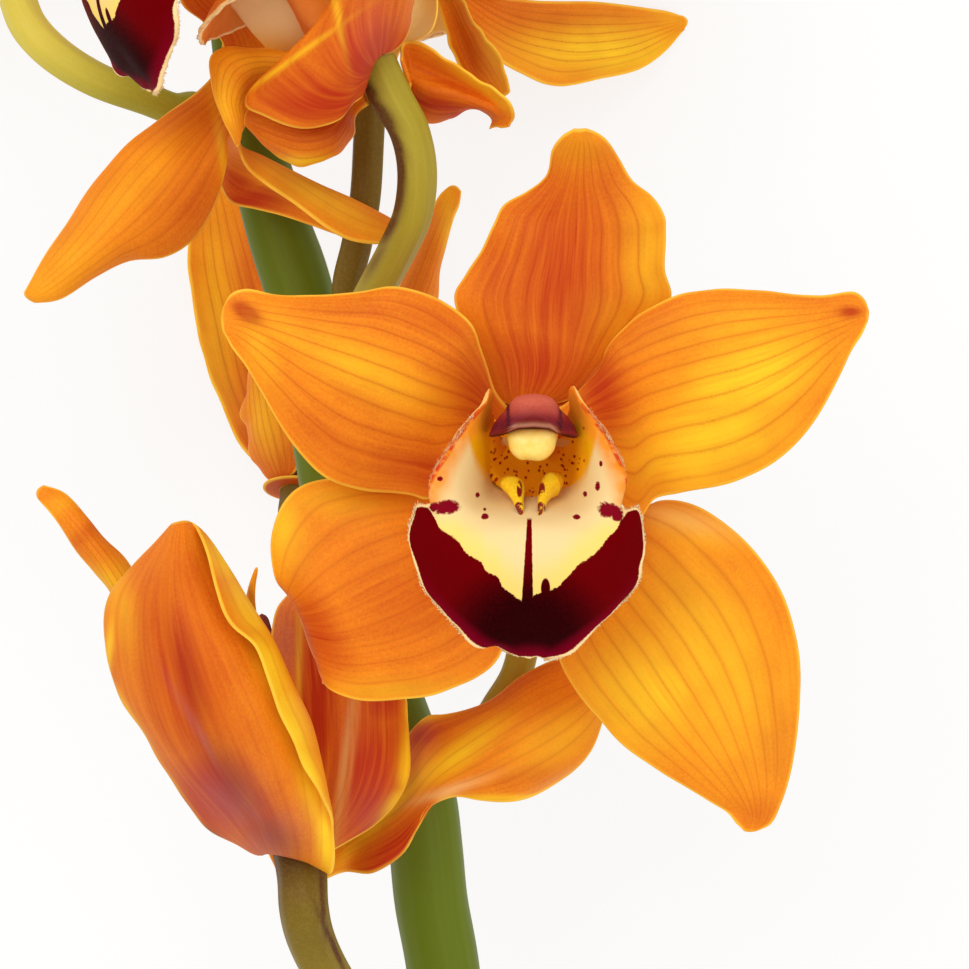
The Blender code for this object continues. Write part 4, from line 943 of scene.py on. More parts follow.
bladeLooks = {
    "main_dorsal_sepal": {
        "veins": 11, "ripple": 0.25,
        "red": (
            (560, 270, 66, 120, -4, 0.95), (540, 365, 64, 60, 0, 0.95), (505, 280, 34, 70, 10, 0.7),
            (590, 200, 40, 40, 0, 0.5)),
        "yellow": ((648, 262, 26, 70, 0, 0.6), (575, 145, 30, 22, 0, 0.3), (620, 330, 26, 40, 20, 0.3)),
    },
    "main_petal_right": {
        "veins": 11, "ripple": 0.25, "veinless": 0.1,
        "red": (
            (606, 400, 30, 60, 10, 1.1), (625, 440, 24, 30, 20, 0.6), (640, 330, 50, 26, 30, 0.4),
            (850, 312, 13, 6, 0, 1.3), (640, 480, 34, 22, 30, 0.45), (800, 300, 60, 8, 0, 0.3)),
        "yellow": ((745, 380, 74, 40, 24, 1.05), (710, 440, 80, 46, 20, 1.0), (730, 330, 70, 26, 10, 0.4)),
    },
    "main_petal_left": {
        "veins": 11, "ripple": 0.25,
        "red": (
            (478, 400, 34, 60, 0, 0.95), (430, 472, 66, 26, -14, 0.85), (247, 313, 17, 8, -36, 1.8),
            (440, 320, 60, 24, -20, 0.5), (330, 440, 50, 20, -40, 0.45), (370, 310, 60, 14, 0, 0.3)),
        "yellow": (
            (365, 370, 74, 24, -25, 0.6), (300, 338, 60, 18, -25, 0.35), (262, 350, 16, 40, 20, 0.4)),
    },
    "main_sepal_right": {
        "veins": 11, "ripple": 0.25, "veinless": 0.25,
        "red": (
            (775, 740, 20, 90, 10, 0.3), (760, 812, 30, 22, 0, 0.55), (646, 530, 24, 26, 0, 0.5),
            (690, 600, 12, 70, 30, 0.35)),
        "yellow": (
            (650, 690, 66, 60, 40, 0.85), (710, 660, 60, 110, 20, 0.7), (690, 530, 60, 24, -20, 0.5),
            (785, 680, 14, 70, 0, 0.3)),
        "cream": ((680, 518, 56, 12, -16, 0.25),),
    },
    "main_sepal_left": {
        "veins": 10, "ripple": 0.3, "veinless": 0.35,
        "red": (
            (410, 600, 80, 60, 0, 0.5), (430, 480, 70, 16, 0, 0.5), (320, 630, 26, 56, 28, 0.85),
            (300, 590, 14, 30, 20, 0.5), (440, 540, 60, 30, 0, 0.3), (400, 688, 70, 14, 0, 0.35)),
        "yellow": ((284, 525, 22, 50, 0, 0.65), (400, 690, 90, 14, 0, 0.4), (330, 500, 60, 20, 0, 0.45)),
    },
    "lower_left_petal_left": {
        "veins": 9, "ripple": 0.3, "veinless": 0.5,
        "red": (
            (185, 680, 50, 120, 14, 0.95), (215, 790, 50, 60, 30, 1.1), (255, 815, 36, 56, 30, 0.85),
            (190, 590, 18, 60, 10, 0.6), (120, 660, 12, 60, -10, 0.35), (240, 720, 16, 70, 24, 0.5)),
        "yellow": (
            (222, 560, 12, 30, 30, 1.2), (246, 610, 13, 40, 28, 1.2), (268, 665, 13, 50, 22, 1.2),
            (290, 720, 12, 50, 20, 1.2), (308, 780, 11, 50, 15, 1.2), (325, 835, 10, 44, 10, 1.2),
            (110, 655, 5, 44, -8, 0.8), (138, 726, 5, 44, 30, 0.9), (172, 782, 5, 30, 34, 0.6),
            (122, 600, 14, 50, 10, 0.4)),
        # pale: a painted highlight along the keel, from its middle down to the root
        "pale": (
            (235, 800, 30, 46, 40, 0.5), (270, 835, 34, 26, 20, 0.5), (205, 740, 4, 60, 30, 0.5),
            (250, 808, 4, 60, 42, 0.6)),
        # brown: a dark line by the lower edge (the two thin patches), and painted shade in the valley down
        # the middle
        "brown": (
            (186, 806, 4, 20, 34, 0.6), (215, 836, 5, 26, 50, 0.7), (194, 690, 12, 70, 16, 0.28),
            (232, 775, 17, 60, 32, 0.42), (278, 835, 17, 40, 50, 0.42)),
    },
    "lower_left_sepal_left": {
        "veins": 7, "yellow": ((110, 580, 30, 16, 0, 0.7), (60, 505, 20, 10, 30, 0.3)),
        "red": ((90, 530, 40, 8, 45, 0.5),),
    },
    "lower_left_petal_right": {
        "veins": 9, "veinless": 0.4,
        "red": ((370, 780, 60, 110, 0, 1.1), (320, 700, 24, 110, 0, 1.2), (380, 700, 30, 40, 0, 1.1)),
        "yellow": (
            (345, 760, 5, 100, -8, 0.3), (406, 760, 8, 46, -6, 1.1), (408, 712, 5, 24, 0, 0.9),
            (394, 800, 7, 30, -35, 0.9), (300, 650, 3, 60, 0, 0.9)),
        "pale": ((285, 640, 16, 40, 0, 0.5), (347, 740, 5, 100, -7, 0.2), (375, 820, 30, 30, 0, 0.25)),
        "cream": ((347, 740, 4, 100, -7, 0.14), (353, 750, 2, 90, -7, 0.1)),
    },
    "lower_left_dorsal_sepal": {
        "veins": 9, "veinless": 0.4,
        "red": (
            (500, 690, 90, 14, 30, 0.6), (400, 852, 70, 24, 40, 1.3), (540, 775, 60, 16, 0, 0.4),
            (425, 735, 26, 14, 20, 1.0), (560, 700, 60, 12, 26, 0.3)),
        "yellow": (
            (388, 812, 8, 64, -45, 1.3), (455, 758, 13, 60, -54, 1.1), (560, 735, 60, 26, 26, 0.5),
            (430, 718, 30, 4, 10, 0.8), (500, 797, 60, 4, 0, 0.8)),
        "cream": ((450, 790, 40, 5, 20, 0.4), (560, 780, 50, 8, 30, 0.2)),
    },
    "upper_petal_left": {
        "veins": 9, "veinless": 0.5,
        "red": ((370, 60, 60, 80, 0, 1.1), (320, 100, 80, 30, 0, 1.1), (300, 90, 60, 34, 0, 0.9)),
        "yellow": ((337, 5, 3, 40, 10, 0.9), (290, 62, 60, 2.6, 36, 0.9)),
        "pale": ((375, 40, 24, 50, 0, 0.2),),
    },
    "upper_sepal_left": {
        "veins": 9, "yellow": ((260, 60, 50, 16, 0, 0.4), (225, 100, 14, 40, 0, 0.5)),
        "red": ((280, 80, 40, 14, 0, 0.5),),
    },
    "upper_sepal_right": {
        "veins": 9, "red": ((320, 120, 60, 30, 0, 1.05),), "yellow": ((300, 160, 60, 7, 0, 0.8),),
    },
    "upper_dorsal_sepal": {
        "veins": 7, "veinless": 0.5, "red": ((440, 104, 60, 14, -10, 1.1), (450, 84, 70, 12, -36, 0.6)),
        "yellow": ((480, 82, 50, 7, -38, 0.6),),
    },
    "upper_petal_right": {
        "veins": 7, "veinless": 0.9, "yellow": ((420, 20, 30, 70, 0, 1.2),),
        "cream": ((420, 20, 30, 70, 0, 1.0),),
    },
    "top_sepal_left": {
        "veins": 9, "veinless": 0.3,
        "red": ((190, 120, 40, 40, 0, 0.6), (205, 30, 40, 50, 0, 0.9), (190, 200, 36, 50, 0, 0.4)),
        "yellow": ((60, 270, 60, 24, 45, 0.35), (130, 190, 90, 22, 46, 0.3), (222, 160, 5, 60, 10, 0.7)),
    },
    "top_sepal_right": {
        "veins": 9, "veinless": 0.5,
        "red": (
            (250, 200, 70, 18, 10, 1.0), (240, 180, 26, 40, 0, 0.8), (250, 30, 60, 60, 0, 0.9),
            (380, 225, 30, 12, -20, 0.5)),
        "yellow": ((320, 200, 80, 14, -30, 0.6), (290, 195, 60, 5, -30, 0.4)),
    },
    "back_petal_left": {
        "veins": 7, "red": ((275, 440, 34, 70, 0, 1.0), (250, 330, 14, 120, 0, 0.6)),
        "yellow": ((215, 320, 22, 110, 0, 0.6),),
    },
    "back_petal_right": {
        "veins": 7, "red": ((420, 280, 14, 80, -27, 0.35),), "yellow": ((448, 230, 9, 60, 0, 0.6),),
    },
    "top_right_petal_left": {
        "veins": 9, "red": ((560, 20, 90, 12, 0, 0.45), (520, 10, 40, 40, 0, 0.4)),
        "yellow": ((600, 50, 90, 26, 0, 1.1), (670, 20, 30, 20, 0, 0.4)),
    },
    "top_right_sepal_left": {
        "veins": 7, "red": ((470, 50, 14, 50, 10, 0.5),), "yellow": ((494, 50, 8, 40, 20, 0.4),),
    },
}
plainLook = {
    "patchesOnLeaf": True, "veins": 9, "red": ((50, 0, 60, 30, 0, 0.7), (50, 100, 14, 5, 0, 0.8)),
    "yellow": ((50, 50, 26, 34, 0, 0.55),),
}


def ripples(name, amount):
    # gentle waves, larger near the margin, none at the root
    seed = sum(ord(letter) * (index + 3) for index, letter in enumerate(name))
    phase = np.random.default_rng(seed).uniform(0, 2 * math.pi, 6)

    def relief(t, s, edge):
        grow = np.sin(math.pi * np.clip(t, 0, 1)) * np.clip(t * 4, 0, 1)
        near = np.exp(-edge / 3.0)
        wave = np.sin(9 * t + phase[0]) * np.cos(5 * s + phase[1]) + 0.6 * np.sin(17 * t + 7 * s + phase[2])
        ruffle = np.sin(31 * t + phase[3]) + 0.6 * np.sin(53 * t + phase[4])
        return amount * grow * (0.6 * wave + 0.5 * near * ruffle)
    return relief


bladeShape = {"fine": (110, 60), "coarse": (60, 34), "thickness": 0.75, "ripple": 0.2}


def makeBlades():
    for bloom in blooms.values():
        for number, part in enumerate(bladeParts):
            name = bloom.name + "_" + part
            look = bladeLooks.get(name, plainLook)
            if name in rails:
                surface = railSurface(rootedLines(name, bloom))
            else:
                surface = archSurface(bloom, *arches[name], phase=number)
            size = bladeShape["fine" if name in bladeLooks else "coarse"]
            shellPiece(name + "_skin", surface, size, bladeShape["thickness"], look, [name],
                       materials["tepal"], ripples(name, look.get("ripple", bladeShape["ripple"])))


makeBlades()
print("petals and sepals made")


# Small leafy pieces beside the main forms, by rails as the blades are

trims = {
    "main_sepal_left_roll": {
        "rails": (
            [
                (296, 588, -12.2), (306, 606, -12), (314, 622, -12), (322, 641, -12), (328, 656, -12),
                (327, 668, -12), (324, 684, -12)],
            [
                (294.5, 588.5, -12.8), (302, 608, -13.2), (309, 625, -13.4), (315, 642, -13.6),
                (320, 656, -13.6), (323, 668, -13.2), (323.5, 684, -12.6)],
            [
                (293, 589, -13.5), (298, 610, -14.6), (303.5, 627, -15), (308.5, 643, -15.2),
                (314, 656, -15.4), (320, 668, -14.4), (323, 684, -13)]),
        "slot": "tepal",
        "look": {
            "veins": 3, "veinless": 0.8, "pale": ((306, 632, 7, 24, 20, 0.3),),
            "red": ((312, 640, 10, 40, 24, 0.5),),
        },
    },
    "lower_left_spike": {
        "rails": (
            [
                (249, 640, -24), (247.5, 615, -21), (246.5, 600, -19), (249.5, 585, -17), (254.2, 572, -16),
                (256.4, 567.5, -16)],
            [
                (253, 640, -22.5), (251.5, 615, -19.5), (250.8, 600, -17.5), (252.6, 585, -16),
                (255.6, 572, -15.4), (256.7, 567.5, -15.6)],
            [
                (257, 640, -24), (256, 615, -21), (254.6, 600, -19), (255, 585, -17), (256.8, 572, -16),
                (257, 567.5, -16)]),
        "slot": "lip",
        "look": {
            "veins": 3, "yellow": ((252, 590, 6, 40, 0, 0.5),), "brown": ((252, 600, 1.6, 24, 8, 0.4),),
        },
    },
    "upper_lip_side": {
        "rails": (
            [(214, -40, -18), (224, -3, -18), (238, 14, -18.5), (253, 33, -19), (270, 51, -19.5)],
            [(280, -40, -14), (284, 0, -14.5), (286, 30, -16), (290, 54, -19)],
            [(345, -40, -18), (341, 0, -18), (326, 30, -18.5), (306, 55, -19.5)]),
        "slot": "lip", "look": {"veins": 5, "veinless": 1.0},
        "lipPlace": (461, 17, 466.0),
    },
}

# a distance from the margin, mm, past which the margin's colours end
inside = 5.0

# rings that close the gaps between an ovary and the blades: radius and level, mm
collars = {"main": (9.4, -2.3), **dict.fromkeys(("back", "top_right", "top_left", "top"), (5.6, -2.0))}
collarLook = {"veinless": 1.0, "patchesOnLeaf": True, "red": ((50, 50, 90, 90, 0, 0.9),)}
ovary = 2.6
trimShape = {"size": (50, 20), "thickness": 0.6}


def discSurface(bloom, radius, level):
    # an almost whole ring round the ovary, lifted as a square towards its rim
    def surface(t, s):
        turn, out = np.meshgrid(t * 2 * math.pi * 0.999, ovary + (radius - ovary) * s, indexing="ij")
        lifted = level + 0.006 * out ** 2
        return bloom.put(np.stack([out * np.cos(turn), out * np.sin(turn), lifted], axis=-1))
    return surface


def makeTrims():
    size, thickness = trimShape["size"], trimShape["thickness"]
    for name, trim in trims.items():
        surface = railSurface([placed(line) for line in trim["rails"]])
        material = materials["lip" if "lipPlace" in trim else "tepal"]
        obj = shellPiece(name, surface, size, thickness, trim["look"], [], material)
        if "lipPlace" in trim:
            # it takes the colours that the main lip has at these places
            column, wide, row = trim["lipPlace"]
            columns = np.repeat(column + wide * np.linspace(0.0, 1.0, size[0]), size[1])
            paint(obj, {"column": np.tile(columns, 2), "row": row, "inner": 1.0, "edge": inside})
    for name, (radius, level) in collars.items():
        surface = discSurface(blooms[name], radius, level)
        shellPiece(name + "_collar", surface, size, thickness, collarLook, [], materials["tepal"])


makeTrims()


# Lips. Rails are given on the main bloom and carried to the others

lipRails = (
    [
        (514, 456, -6.8), (502, 440, -2), (491, 410, 5), (490, 389, 10), (478, 408, 13), (462, 430, 14),
        (446, 452, 14.5), (433, 474, 15), (430, 490, 14.5), (433, 502, 13.5), (426, 505.5, 13.2),
        (417.2, 504, 13), (413.4, 513, 13), (409.6, 524, 13), (409, 538, 13), (416, 556, 13),
        (421, 583, 12.5), (437, 605, 11.5), (452, 622, 10.8), (469, 640, 10), (480, 645, 9.5),
        (491, 641, 9.3), (505, 651, 8.5), (520, 657, 8)],
    [
        (522, 457, -6.8), (508, 462, -4), (495, 474, 0), (484, 487, 5), (474, 500, 10), (466, 516, 15),
        (455, 540, 17), (458, 570, 16.5), (474, 602, 14.5), (496, 630, 12), (514, 649, 9), (525, 658, 8)],
    [
        (530, 457, -6.8), (530, 470, -4), (530, 486, 0), (530, 501, 6), (530, 516, 13), (530, 532, 17.5),
        (530, 560, 18.5), (530, 595, 16.5), (530, 630, 12), (530, 650, 9), (530, 659, 8)],
    [
        (538, 457, -6.8), (552, 462, -4), (566, 474, 0), (576, 487, 5), (584, 500, 10), (592, 516, 15),
        (603, 540, 17), (600, 570, 16.5), (585, 602, 14.5), (564, 630, 12), (546, 649, 9), (535, 658, 8)],
    [
        (546, 456, -6.8), (559, 438, -2), (570, 407, 5), (573, 386, 10), (586, 406, 13), (600, 425, 14),
        (614, 446, 14.5), (623, 466, 15), (623, 484, 14.5), (618, 500, 13.8), (624.5, 510, 13.4),
        (637.5, 506.5, 13), (640.5, 514, 13), (642, 523, 13), (644, 542, 13), (640, 560, 13),
        (640, 577, 12.5), (629, 595, 11.5), (608, 615, 10.8), (590, 633, 10), (572, 652, 9),
        (550, 659.5, 8.4), (542, 660, 8)])
lipShape = {"fine": (150, 90), "coarse": (90, 50), "thickness": 0.8, "crinkle": 0.3}


def ownOfMain(points):
    # places of the view in the main bloom's own frame
    return place(*np.moveaxis(np.asarray(points, float), -1, 0)) - place(*bloomSizes["hub"])


def makeLip(bloom):
    root = ownOfMain(lipRails[2][0])
    mainLines = [ownOfMain(line) for line in lipRails]
    mainSurface = railSurface([line + place(*bloomSizes["hub"]) for line in mainLines])
    surface = railSurface([bloom.put(root + (line - root) * bloom.lip) for line in mainLines])
    size = lipShape["fine" if bloom.name in ("main", "top") else "coarse"]

    def relief(t, s, edge):
        near = np.exp(-edge / 0.9) * np.clip(t * 6 - 0.6, 0, 1)
        wave = np.sin(31 * t + 2) + 0.6 * np.sin(53 * t + 5 * s) + 0.4 * np.sin(97 * t)
        return lipShape["crinkle"] * near * wave

    obj = shellPiece(bloom.name + "_lip_skin", surface, size, lipShape["thickness"], {"marginWidth": 0.3},
                     [bloom.name + "_lip"], materials["lip"], relief)
    # markings by the main lip's places in the view; the upper lip shows its orange outside
    column, row = viewPoints(mainSurface(*shellGrid(*size)))
    hidden = bloom.name == "upper"
    paint(obj, {"column": np.tile(column.ravel(), 2), "row": np.tile(row.ravel(), 2),
                "inner": np.repeat([0.0, 0.0 if hidden else 1.0], column.size),
                "burnt": 0.85 if hidden else 0.0})
    return surface


lipSurfaces = {bloom.name: makeLip(bloom) for bloom in blooms.values()}
print("lips made")


# Inside a lip: the throat's floor, two keels and hairs on the margins, first given on the main bloom

throatShape = {
    "middle": 537.5, "half": 50.0, "top": 420.0, "size": (40, 60), "thickness": 0.7,
    "bottom": (
        (487, 472), (493, 482), (503, 490), (515, 496), (528, 500), (545, 498), (560, 493), (575, 486),
        (588, 474)),
    "floor": ((0.0, -6.6), (0.45, -5.6), (0.62, -3.0), (0.84, 1.2), (1.0, 5.6)), "rise": 6.5,
}
keels = {
    "left": (
        [
            (506, 481, 4.8), (510.5, 483, 6.0), (514.5, 489, 7.8), (517.6, 499, 10.3), (520, 508, 12.2),
            (521.8, 517, 13.8)],
        (1.0, 1.8, 1.35, 0.85, 0.62, 0.25)),
    "right": (
        [
            (559, 481, 4.8), (554, 483, 6.0), (547.5, 489, 7.8), (543, 499, 10.3), (541.2, 508, 12.2),
            (539, 517, 13.8)],
        (1.1, 1.9, 1.4, 0.95, 0.72, 0.25)),
}

keelMarks = (
    (519.5, 489, 2.8, 9, 0, 1.2), (519, 509, 4.6, 7, 0, 1.4), (541, 489, 4.2, 7.5, 0, 1.2),
    (541, 509, 4.6, 7, 0, 1.4))


def carried(bloom, mainPlaces):
    # places on the main bloom carried to another one, at its lip's size
    root = ownOfMain(lipRails[2][0])
    own = mainPlaces - place(*bloomSizes["hub"])
    return bloom.put(root + (own - root) * bloom.lip)


def throatPoints(t, s):
    # across: evenly; down: from the top to the lower line; height: the floor's slope and a rise to both sides
    t, s = np.meshgrid(t, s, indexing="ij")
    u = 2 * s - 1
    column = throatShape["middle"] + throatShape["half"] * u
    lower = np.interp(column, *zip(*throatShape["bottom"]))
    row = throatShape["top"] + (lower - throatShape["top"]) * t
    share = (row - throatShape["top"]) / 80.0
    height = np.interp(share, *zip(*throatShape["floor"])) + throatShape["rise"] * np.abs(u) ** 2.4
    height = height - 1.6 * np.clip((np.abs(u) - 0.8) / 0.2, 0, 1) ** 2
    return column, row, height - 1.8 * np.clip((t - 0.86) / 0.14, 0, 1) ** 2


def makeThroat(bloom):
    def surface(t, s):
        return carried(bloom, place(*throatPoints(t, s)))

    obj = shellPiece(bloom.name + "_throat", surface, throatShape["size"], throatShape["thickness"], {}, [],
                     materials["lip"])
    column, row, _ = throatPoints(*shellGrid(*throatShape["size"]))
    paint(obj, {"column": np.tile(column.ravel(), 2), "row": np.tile(row.ravel(), 2), "inner": 1.0,
                "edge": inside})


def makeKeel(bloom, side):
    line, widths = keels[side]
    shares = np.linspace(0.0, 1.0, 50)
    path = smoothCurve(carried(bloom, place(*np.array(line, float).T)), shares)
    radius = np.interp(shares, np.linspace(0, 1, len(widths)), widths) * bloom.lip
    tubePiece(bloom.name + "_keel_" + side, path, radius, 28, [], materials["keel"],
              lambda angle, share: 1.0 - 0.3 * np.abs(np.sin(angle + 0.4)),
              patches=keelMarks if bloom.name == "main" else ())


def hairs(name, roots, directions, length, width, material):
    # thin four-sided spikes, each from its own root; all in one mesh
    count = len(roots)
    first = unit(np.cross(directions, (0.31, 0.52, 0.79)))
    second = np.cross(directions, first)
    corners = [roots + (first * math.cos(a) + second * math.sin(a)) * width for a in (0.0, 2.1, 4.2)]
    places = np.stack(corners + [roots + directions * length[:, None]], axis=1).reshape(-1, 3)
    base = np.arange(count)[:, None] * 4
    faces = [base + np.array([corner]) for corner in ((0, 1, 3), (1, 2, 3), (2, 0, 3), (2, 1, 0))]
    finishPiece(name, places, faces, [], material)


# where along the margin, then length, width, share of the count and material
fringes = {
    "side_hair": (0.35, 0.52, 0.6, 0.05, 0.7, "redHair"),
    "beads": (0.5, 0.995, 0.42, 0.13, 1.2, "hair"),
}
hairCounts = {"main": 700}


def makeFringe(bloom, draw):
    # short hairs on the side lobes' margins and beads round the middle lobe
    surface = lipSurfaces[bloom.name]
    count = hairCounts.get(bloom.name, 260)
    for part, (low, high, long, wide, share, material) in fringes.items():
        number = int(count * share)
        t = np.sort(draw.uniform(low, high, number))
        roots, away = [], []
        for s in (0.0, 1.0):
            rows = surface(t, np.array([s, abs(s - 0.03)]))
            roots.append(rows[:, 0])
            away.append(unit(rows[:, 0] - rows[:, 1]))
        roots, away = np.concatenate(roots), np.concatenate(away)
        roots = roots + draw.normal(0.0, 0.09, roots.shape) * bloom.lip - away * 0.1
        away = unit(away + draw.normal(0.0, 0.45, away.shape))
        length = long * bloom.lip * draw.uniform(0.4, 1.1, len(roots))
        hairs(bloom.name + "_" + part, roots, away, length, wide * bloom.lip, materials[material])


for number, bloom in enumerate(blooms.values()):
    makeThroat(bloom)
    makeFringe(bloom, np.random.default_rng(40 + number))
print("throats and fringes made")


# Tubes: a profile carried along a path, with frames that don't twist

def pathFrames(path):
    # two directions square to the path at each ring, each turned as little as possible from the last
    along = unit(np.gradient(path, axis=0))
    first = np.cross(along[0], (0.3, 0.2, 0.9))
    sides = np.empty_like(path)
    for i in range(len(path)):
        first = unit(first - along[i] * (first @ along[i]))
        sides[i] = first
    return sides, np.cross(along, sides)


def tubePiece(name, path, radius, around, replaced, material, profile=None, tint=None,
              ends=(0.4, 0.4), patches=()):
    # ring points: path + radius * profile(angle, share) in the frame's two directions
    # a smaller ring and a point close each end
    rings = len(path)
    share = np.linspace(0.0, 1.0, rings)
    angle = np.linspace(0.0, 2 * math.pi, around, endpoint=False)
    sides, ups = pathFrames(path)
    shape = np.ones((rings, around)) if profile is None else profile(angle[None], share[:, None])
    size = np.asarray(radius)[:, None] * shape
    ring = path[:, None] + size[..., None] * (np.cos(angle)[None, :, None] * sides[:, None]
                                              + np.sin(angle)[None, :, None] * ups[:, None])
    along = unit(np.gradient(path, axis=0))
    capA = path[:1, None] + (ring[:1] - path[:1, None]) * 0.7 - along[0] * ends[0] * 0.3
    capB = path[-1:, None] + (ring[-1:] - path[-1:, None]) * 0.7 + along[-1] * ends[1] * 0.3
    ring = np.concatenate([capA, ring, capB])
    tips = np.stack([path[0] - along[0] * ends[0] * 0.4, path[-1] + along[-1] * ends[1] * 0.4])
    places = np.concatenate([ring.reshape(-1, 3), tips])
    shares = np.concatenate([[0.0], share, [1.0]])
    turn = 0.5 - 0.5 * np.cos(angle)
    uv = np.stack(np.broadcast_arrays(turn[None], shares[:, None]), axis=-1).reshape(-1, 2)
    uv = np.concatenate([uv, [[0.0, 0.0], [0.0, 1.0]]])
    red = blobs(patches, *viewPoints(places))
    if tint is not None:
        red = np.concatenate([np.repeat(tint(shares), around), tint(np.array([0.0, 1.0]))]) + red
    finishPiece(name, places, closedFaces(rings + 2, around), replaced, material, uv,
                {"red": np.clip(red, 0, 1)})


for bloom in blooms.values():
    for side in keels:
        makeKeel(bloom, side)

stemShape = {
    "route": (
        (540, 1922, 5.5 - 107), (520, 1700, -98), (495, 1450, -87), (466, 1200, -72), (443, 968, -58),
        (431, 900, -54.5), (426, 850, -52), (419, 797, -49.5), (403, 745, -47.5), (385, 695, -46.5),
        (352, 590, -45.5), (332, 467, -45), (299, 292, -45), (279, 230, -45), (260, 165, -45),
        (243, 90, -44.5), (236, 40, -44), (221, -40, -43), (203, -150, -42), (190, -260, -41)),
    "radius": 5.5, "taper": ((0.0, 1.0), (0.55, 1.0), (0.78, 0.92), (0.9, 0.6), (1.0, 0.36)), "lean": 35.0,
    "sunk": 4.2, "gap": 0.35,
}


def stemRadii(shares):
    return stemShape["radius"] * np.interp(shares, *zip(*stemShape["taper"]))


def makeStem():
    shares = np.linspace(0.0, 1.0, 300)
    path = smoothCurve(placed(stemShape["route"]), shares)

    def profile(angle, share):
        # faint ribs
        return 1.0 + 0.008 * np.sin(7 * angle + 2) + 0.004 * np.sin(12 * angle + 9 * share)

    tubePiece("stem_skin", path, stemRadii(shares), 64, ["stem"], materials["stem"], profile,
              ends=(0.0, 0.4))
    return path


stemPath = makeStem()


def makeStemCut():
    # the pale flesh of the cut end, a thin disc on the stem's face
    path = stemPath[0] + unit(stemPath[1] - stemPath[0]) * np.linspace(-0.1, 0.4, 6)[:, None]
    radius = np.full(len(path), stemShape["radius"] * 0.93)
    tubePiece("stem_cut", path, radius, 48, [], materials["flesh"], ends=(0.1, 0.1))


makeStemCut()


def stemGap(centre, direction, radius, line):
    # distance from the rim of a branch's end to the stem's skin
    first = unit(np.cross(direction, (0.31, 0.52, 0.79)))
    turns = np.linspace(0.0, 2 * math.pi, 16, endpoint=False)[:, None]
    rim = centre + radius * (np.cos(turns) * first + np.sin(turns) * np.cross(direction, first))
    away = np.linalg.norm(rim[:, None] - line[None], axis=2) - stemRadii(np.linspace(0.0, 1.0, len(line)))
    return away.min()


def joinedToStem(where, radius):
    # the two first points of a branch that leaves the stem slantwise
    line = smoothCurve(placed(stemShape["route"]), np.linspace(0.0, 1.0, 400))
    nearest = int(np.argmin(np.linalg.norm(line - where, axis=1)))
    step = np.linalg.norm(line[1] - line[0])
    if nearest == len(line) - 1:
        axis = unit(line[-1] - line[-2])
        return [line[-1] + axis * stemShape["gap"], line[-1] + axis * 2.0]
    away = np.linalg.norm(where - line[nearest])
    start = max(nearest - int(away * math.tan(math.radians(stemShape["lean"])) / step), 0)
    towards = unit(where - line[start])
    reach = stemShape["radius"] + radius
    for _ in range(4):
        reach += stemShape["gap"] - stemGap(line[start] + towards * reach, towards, radius, line)
    return [line[start] + towards * (reach - stemShape["sunk"]), line[start] + towards * (reach + 2.5)]


def branch(route, radii, ends=()):
    # a branch's path out of the stem, and its radius along it
    points = joinedToStem(place(*route[0]), radii[0][1]) + placed(route[1:]) + list(ends)
    shares = np.linspace(0.0, 1.0, 110)
    return smoothCurve(points, shares), np.interp(shares, *zip(*radii))


pedicels = {
    "main": (
        [
            (470, 752, -42), (497, 706, -36), (517, 672, -33), (527, 620, -32), (531, 540, -30),
            (530, 475, -25)],
        [(0, 2.2), (0.55, 2.3), (0.85, 3.2), (0.93, 2.95), (1, 3.0)]),
    "lower_left": (
        [
            (436, 1142, -62), (408, 1090, -52), (364, 1028, -43), (324, 967, -34), (309, 933, -30),
            (303.5, 905, -27.5)],
        [(0, 2.6), (0.4, 3.1), (0.75, 3.5), (0.9, 3.6), (1, 3.7)]),
    "upper": (
        [
            (334, 384, -40), (352, 330, -33), (374, 292, -26), (397, 250, -21), (413, 213, -17),
            (417, 168, -14), (409, 130, -12.8), (393, 100, -12.4)],
        [(0, 2.2), (0.4, 2.7), (0.8, 2.8), (1, 3.1)]),
    "back": ([(352, 596, -56), (334, 566, -62), (315, 530, -67)], [(0, 2.1), (0.5, 2.4), (1, 3.0)]),
    "top_right": (
        [
            (335, 345, -42), (347, 290, -38), (357, 243, -35), (365, 199, -34), (369, 133, -34),
            (373, 60, -36), (385, 0, -44), (412, -45, -56)],
        [(0, 2.2), (0.5, 2.3), (0.85, 2.6), (1, 3.0)]),
    "top_left": (
        [
            (210, 112, -43), (175, 109, -40), (145, 98, -38), (95, 79, -36), (55, 54, -36), (30, 28, -37),
            (18, 0, -40), (8, -50, -46), (-8, -105, -53)],
        [(0, 2.2), (0.4, 2.7), (0.85, 2.8), (1, 3.0)]),
    "top": (
        [(240, -84, -46), (270, -96, -47), (306, -99, -42), (331, -102, -32), (333, -104, -22)],
        [(0, 2.0), (0.5, 2.3), (1, 3.0)]),
}
# brown along a pedicel, as (share, amount), and in patches as (column, row, two half sizes, turn, amount)
pedicelTints = {
    "lower_left": ((0.0, 0.3), (0.6, 0.4), (0.86, 0.7), (1.0, 1.0)),
    "top_right": ((0.0, 0.75), (1.0, 0.75)), "upper": ((0.0, 0.05), (1.0, 0.1)),
    "back": ((0.0, 0.8), (1.0, 0.8)), "top_left": ((0.0, 1.0), (0.25, 0.6), (0.42, 0.0), (1.0, 0.0)),
}
pedicelPatches = {
    "upper": (
        (366, 94, 12, 18, 36, 1.3), (381, 116, 10, 24, 36, 1.4), (392, 140, 8, 24, 28, 1.4),
        (399, 168, 7, 28, 5, 1.3), (398, 197, 7, 28, -8, 1.2), (390, 227, 7, 28, -26, 1.0),
        (376, 260, 6, 30, -28, 0.7)),
    "lower_left": ((322, 890, 2, 34, 3, 0.9), (333, 945, 2, 34, 24, 0.8)),
}
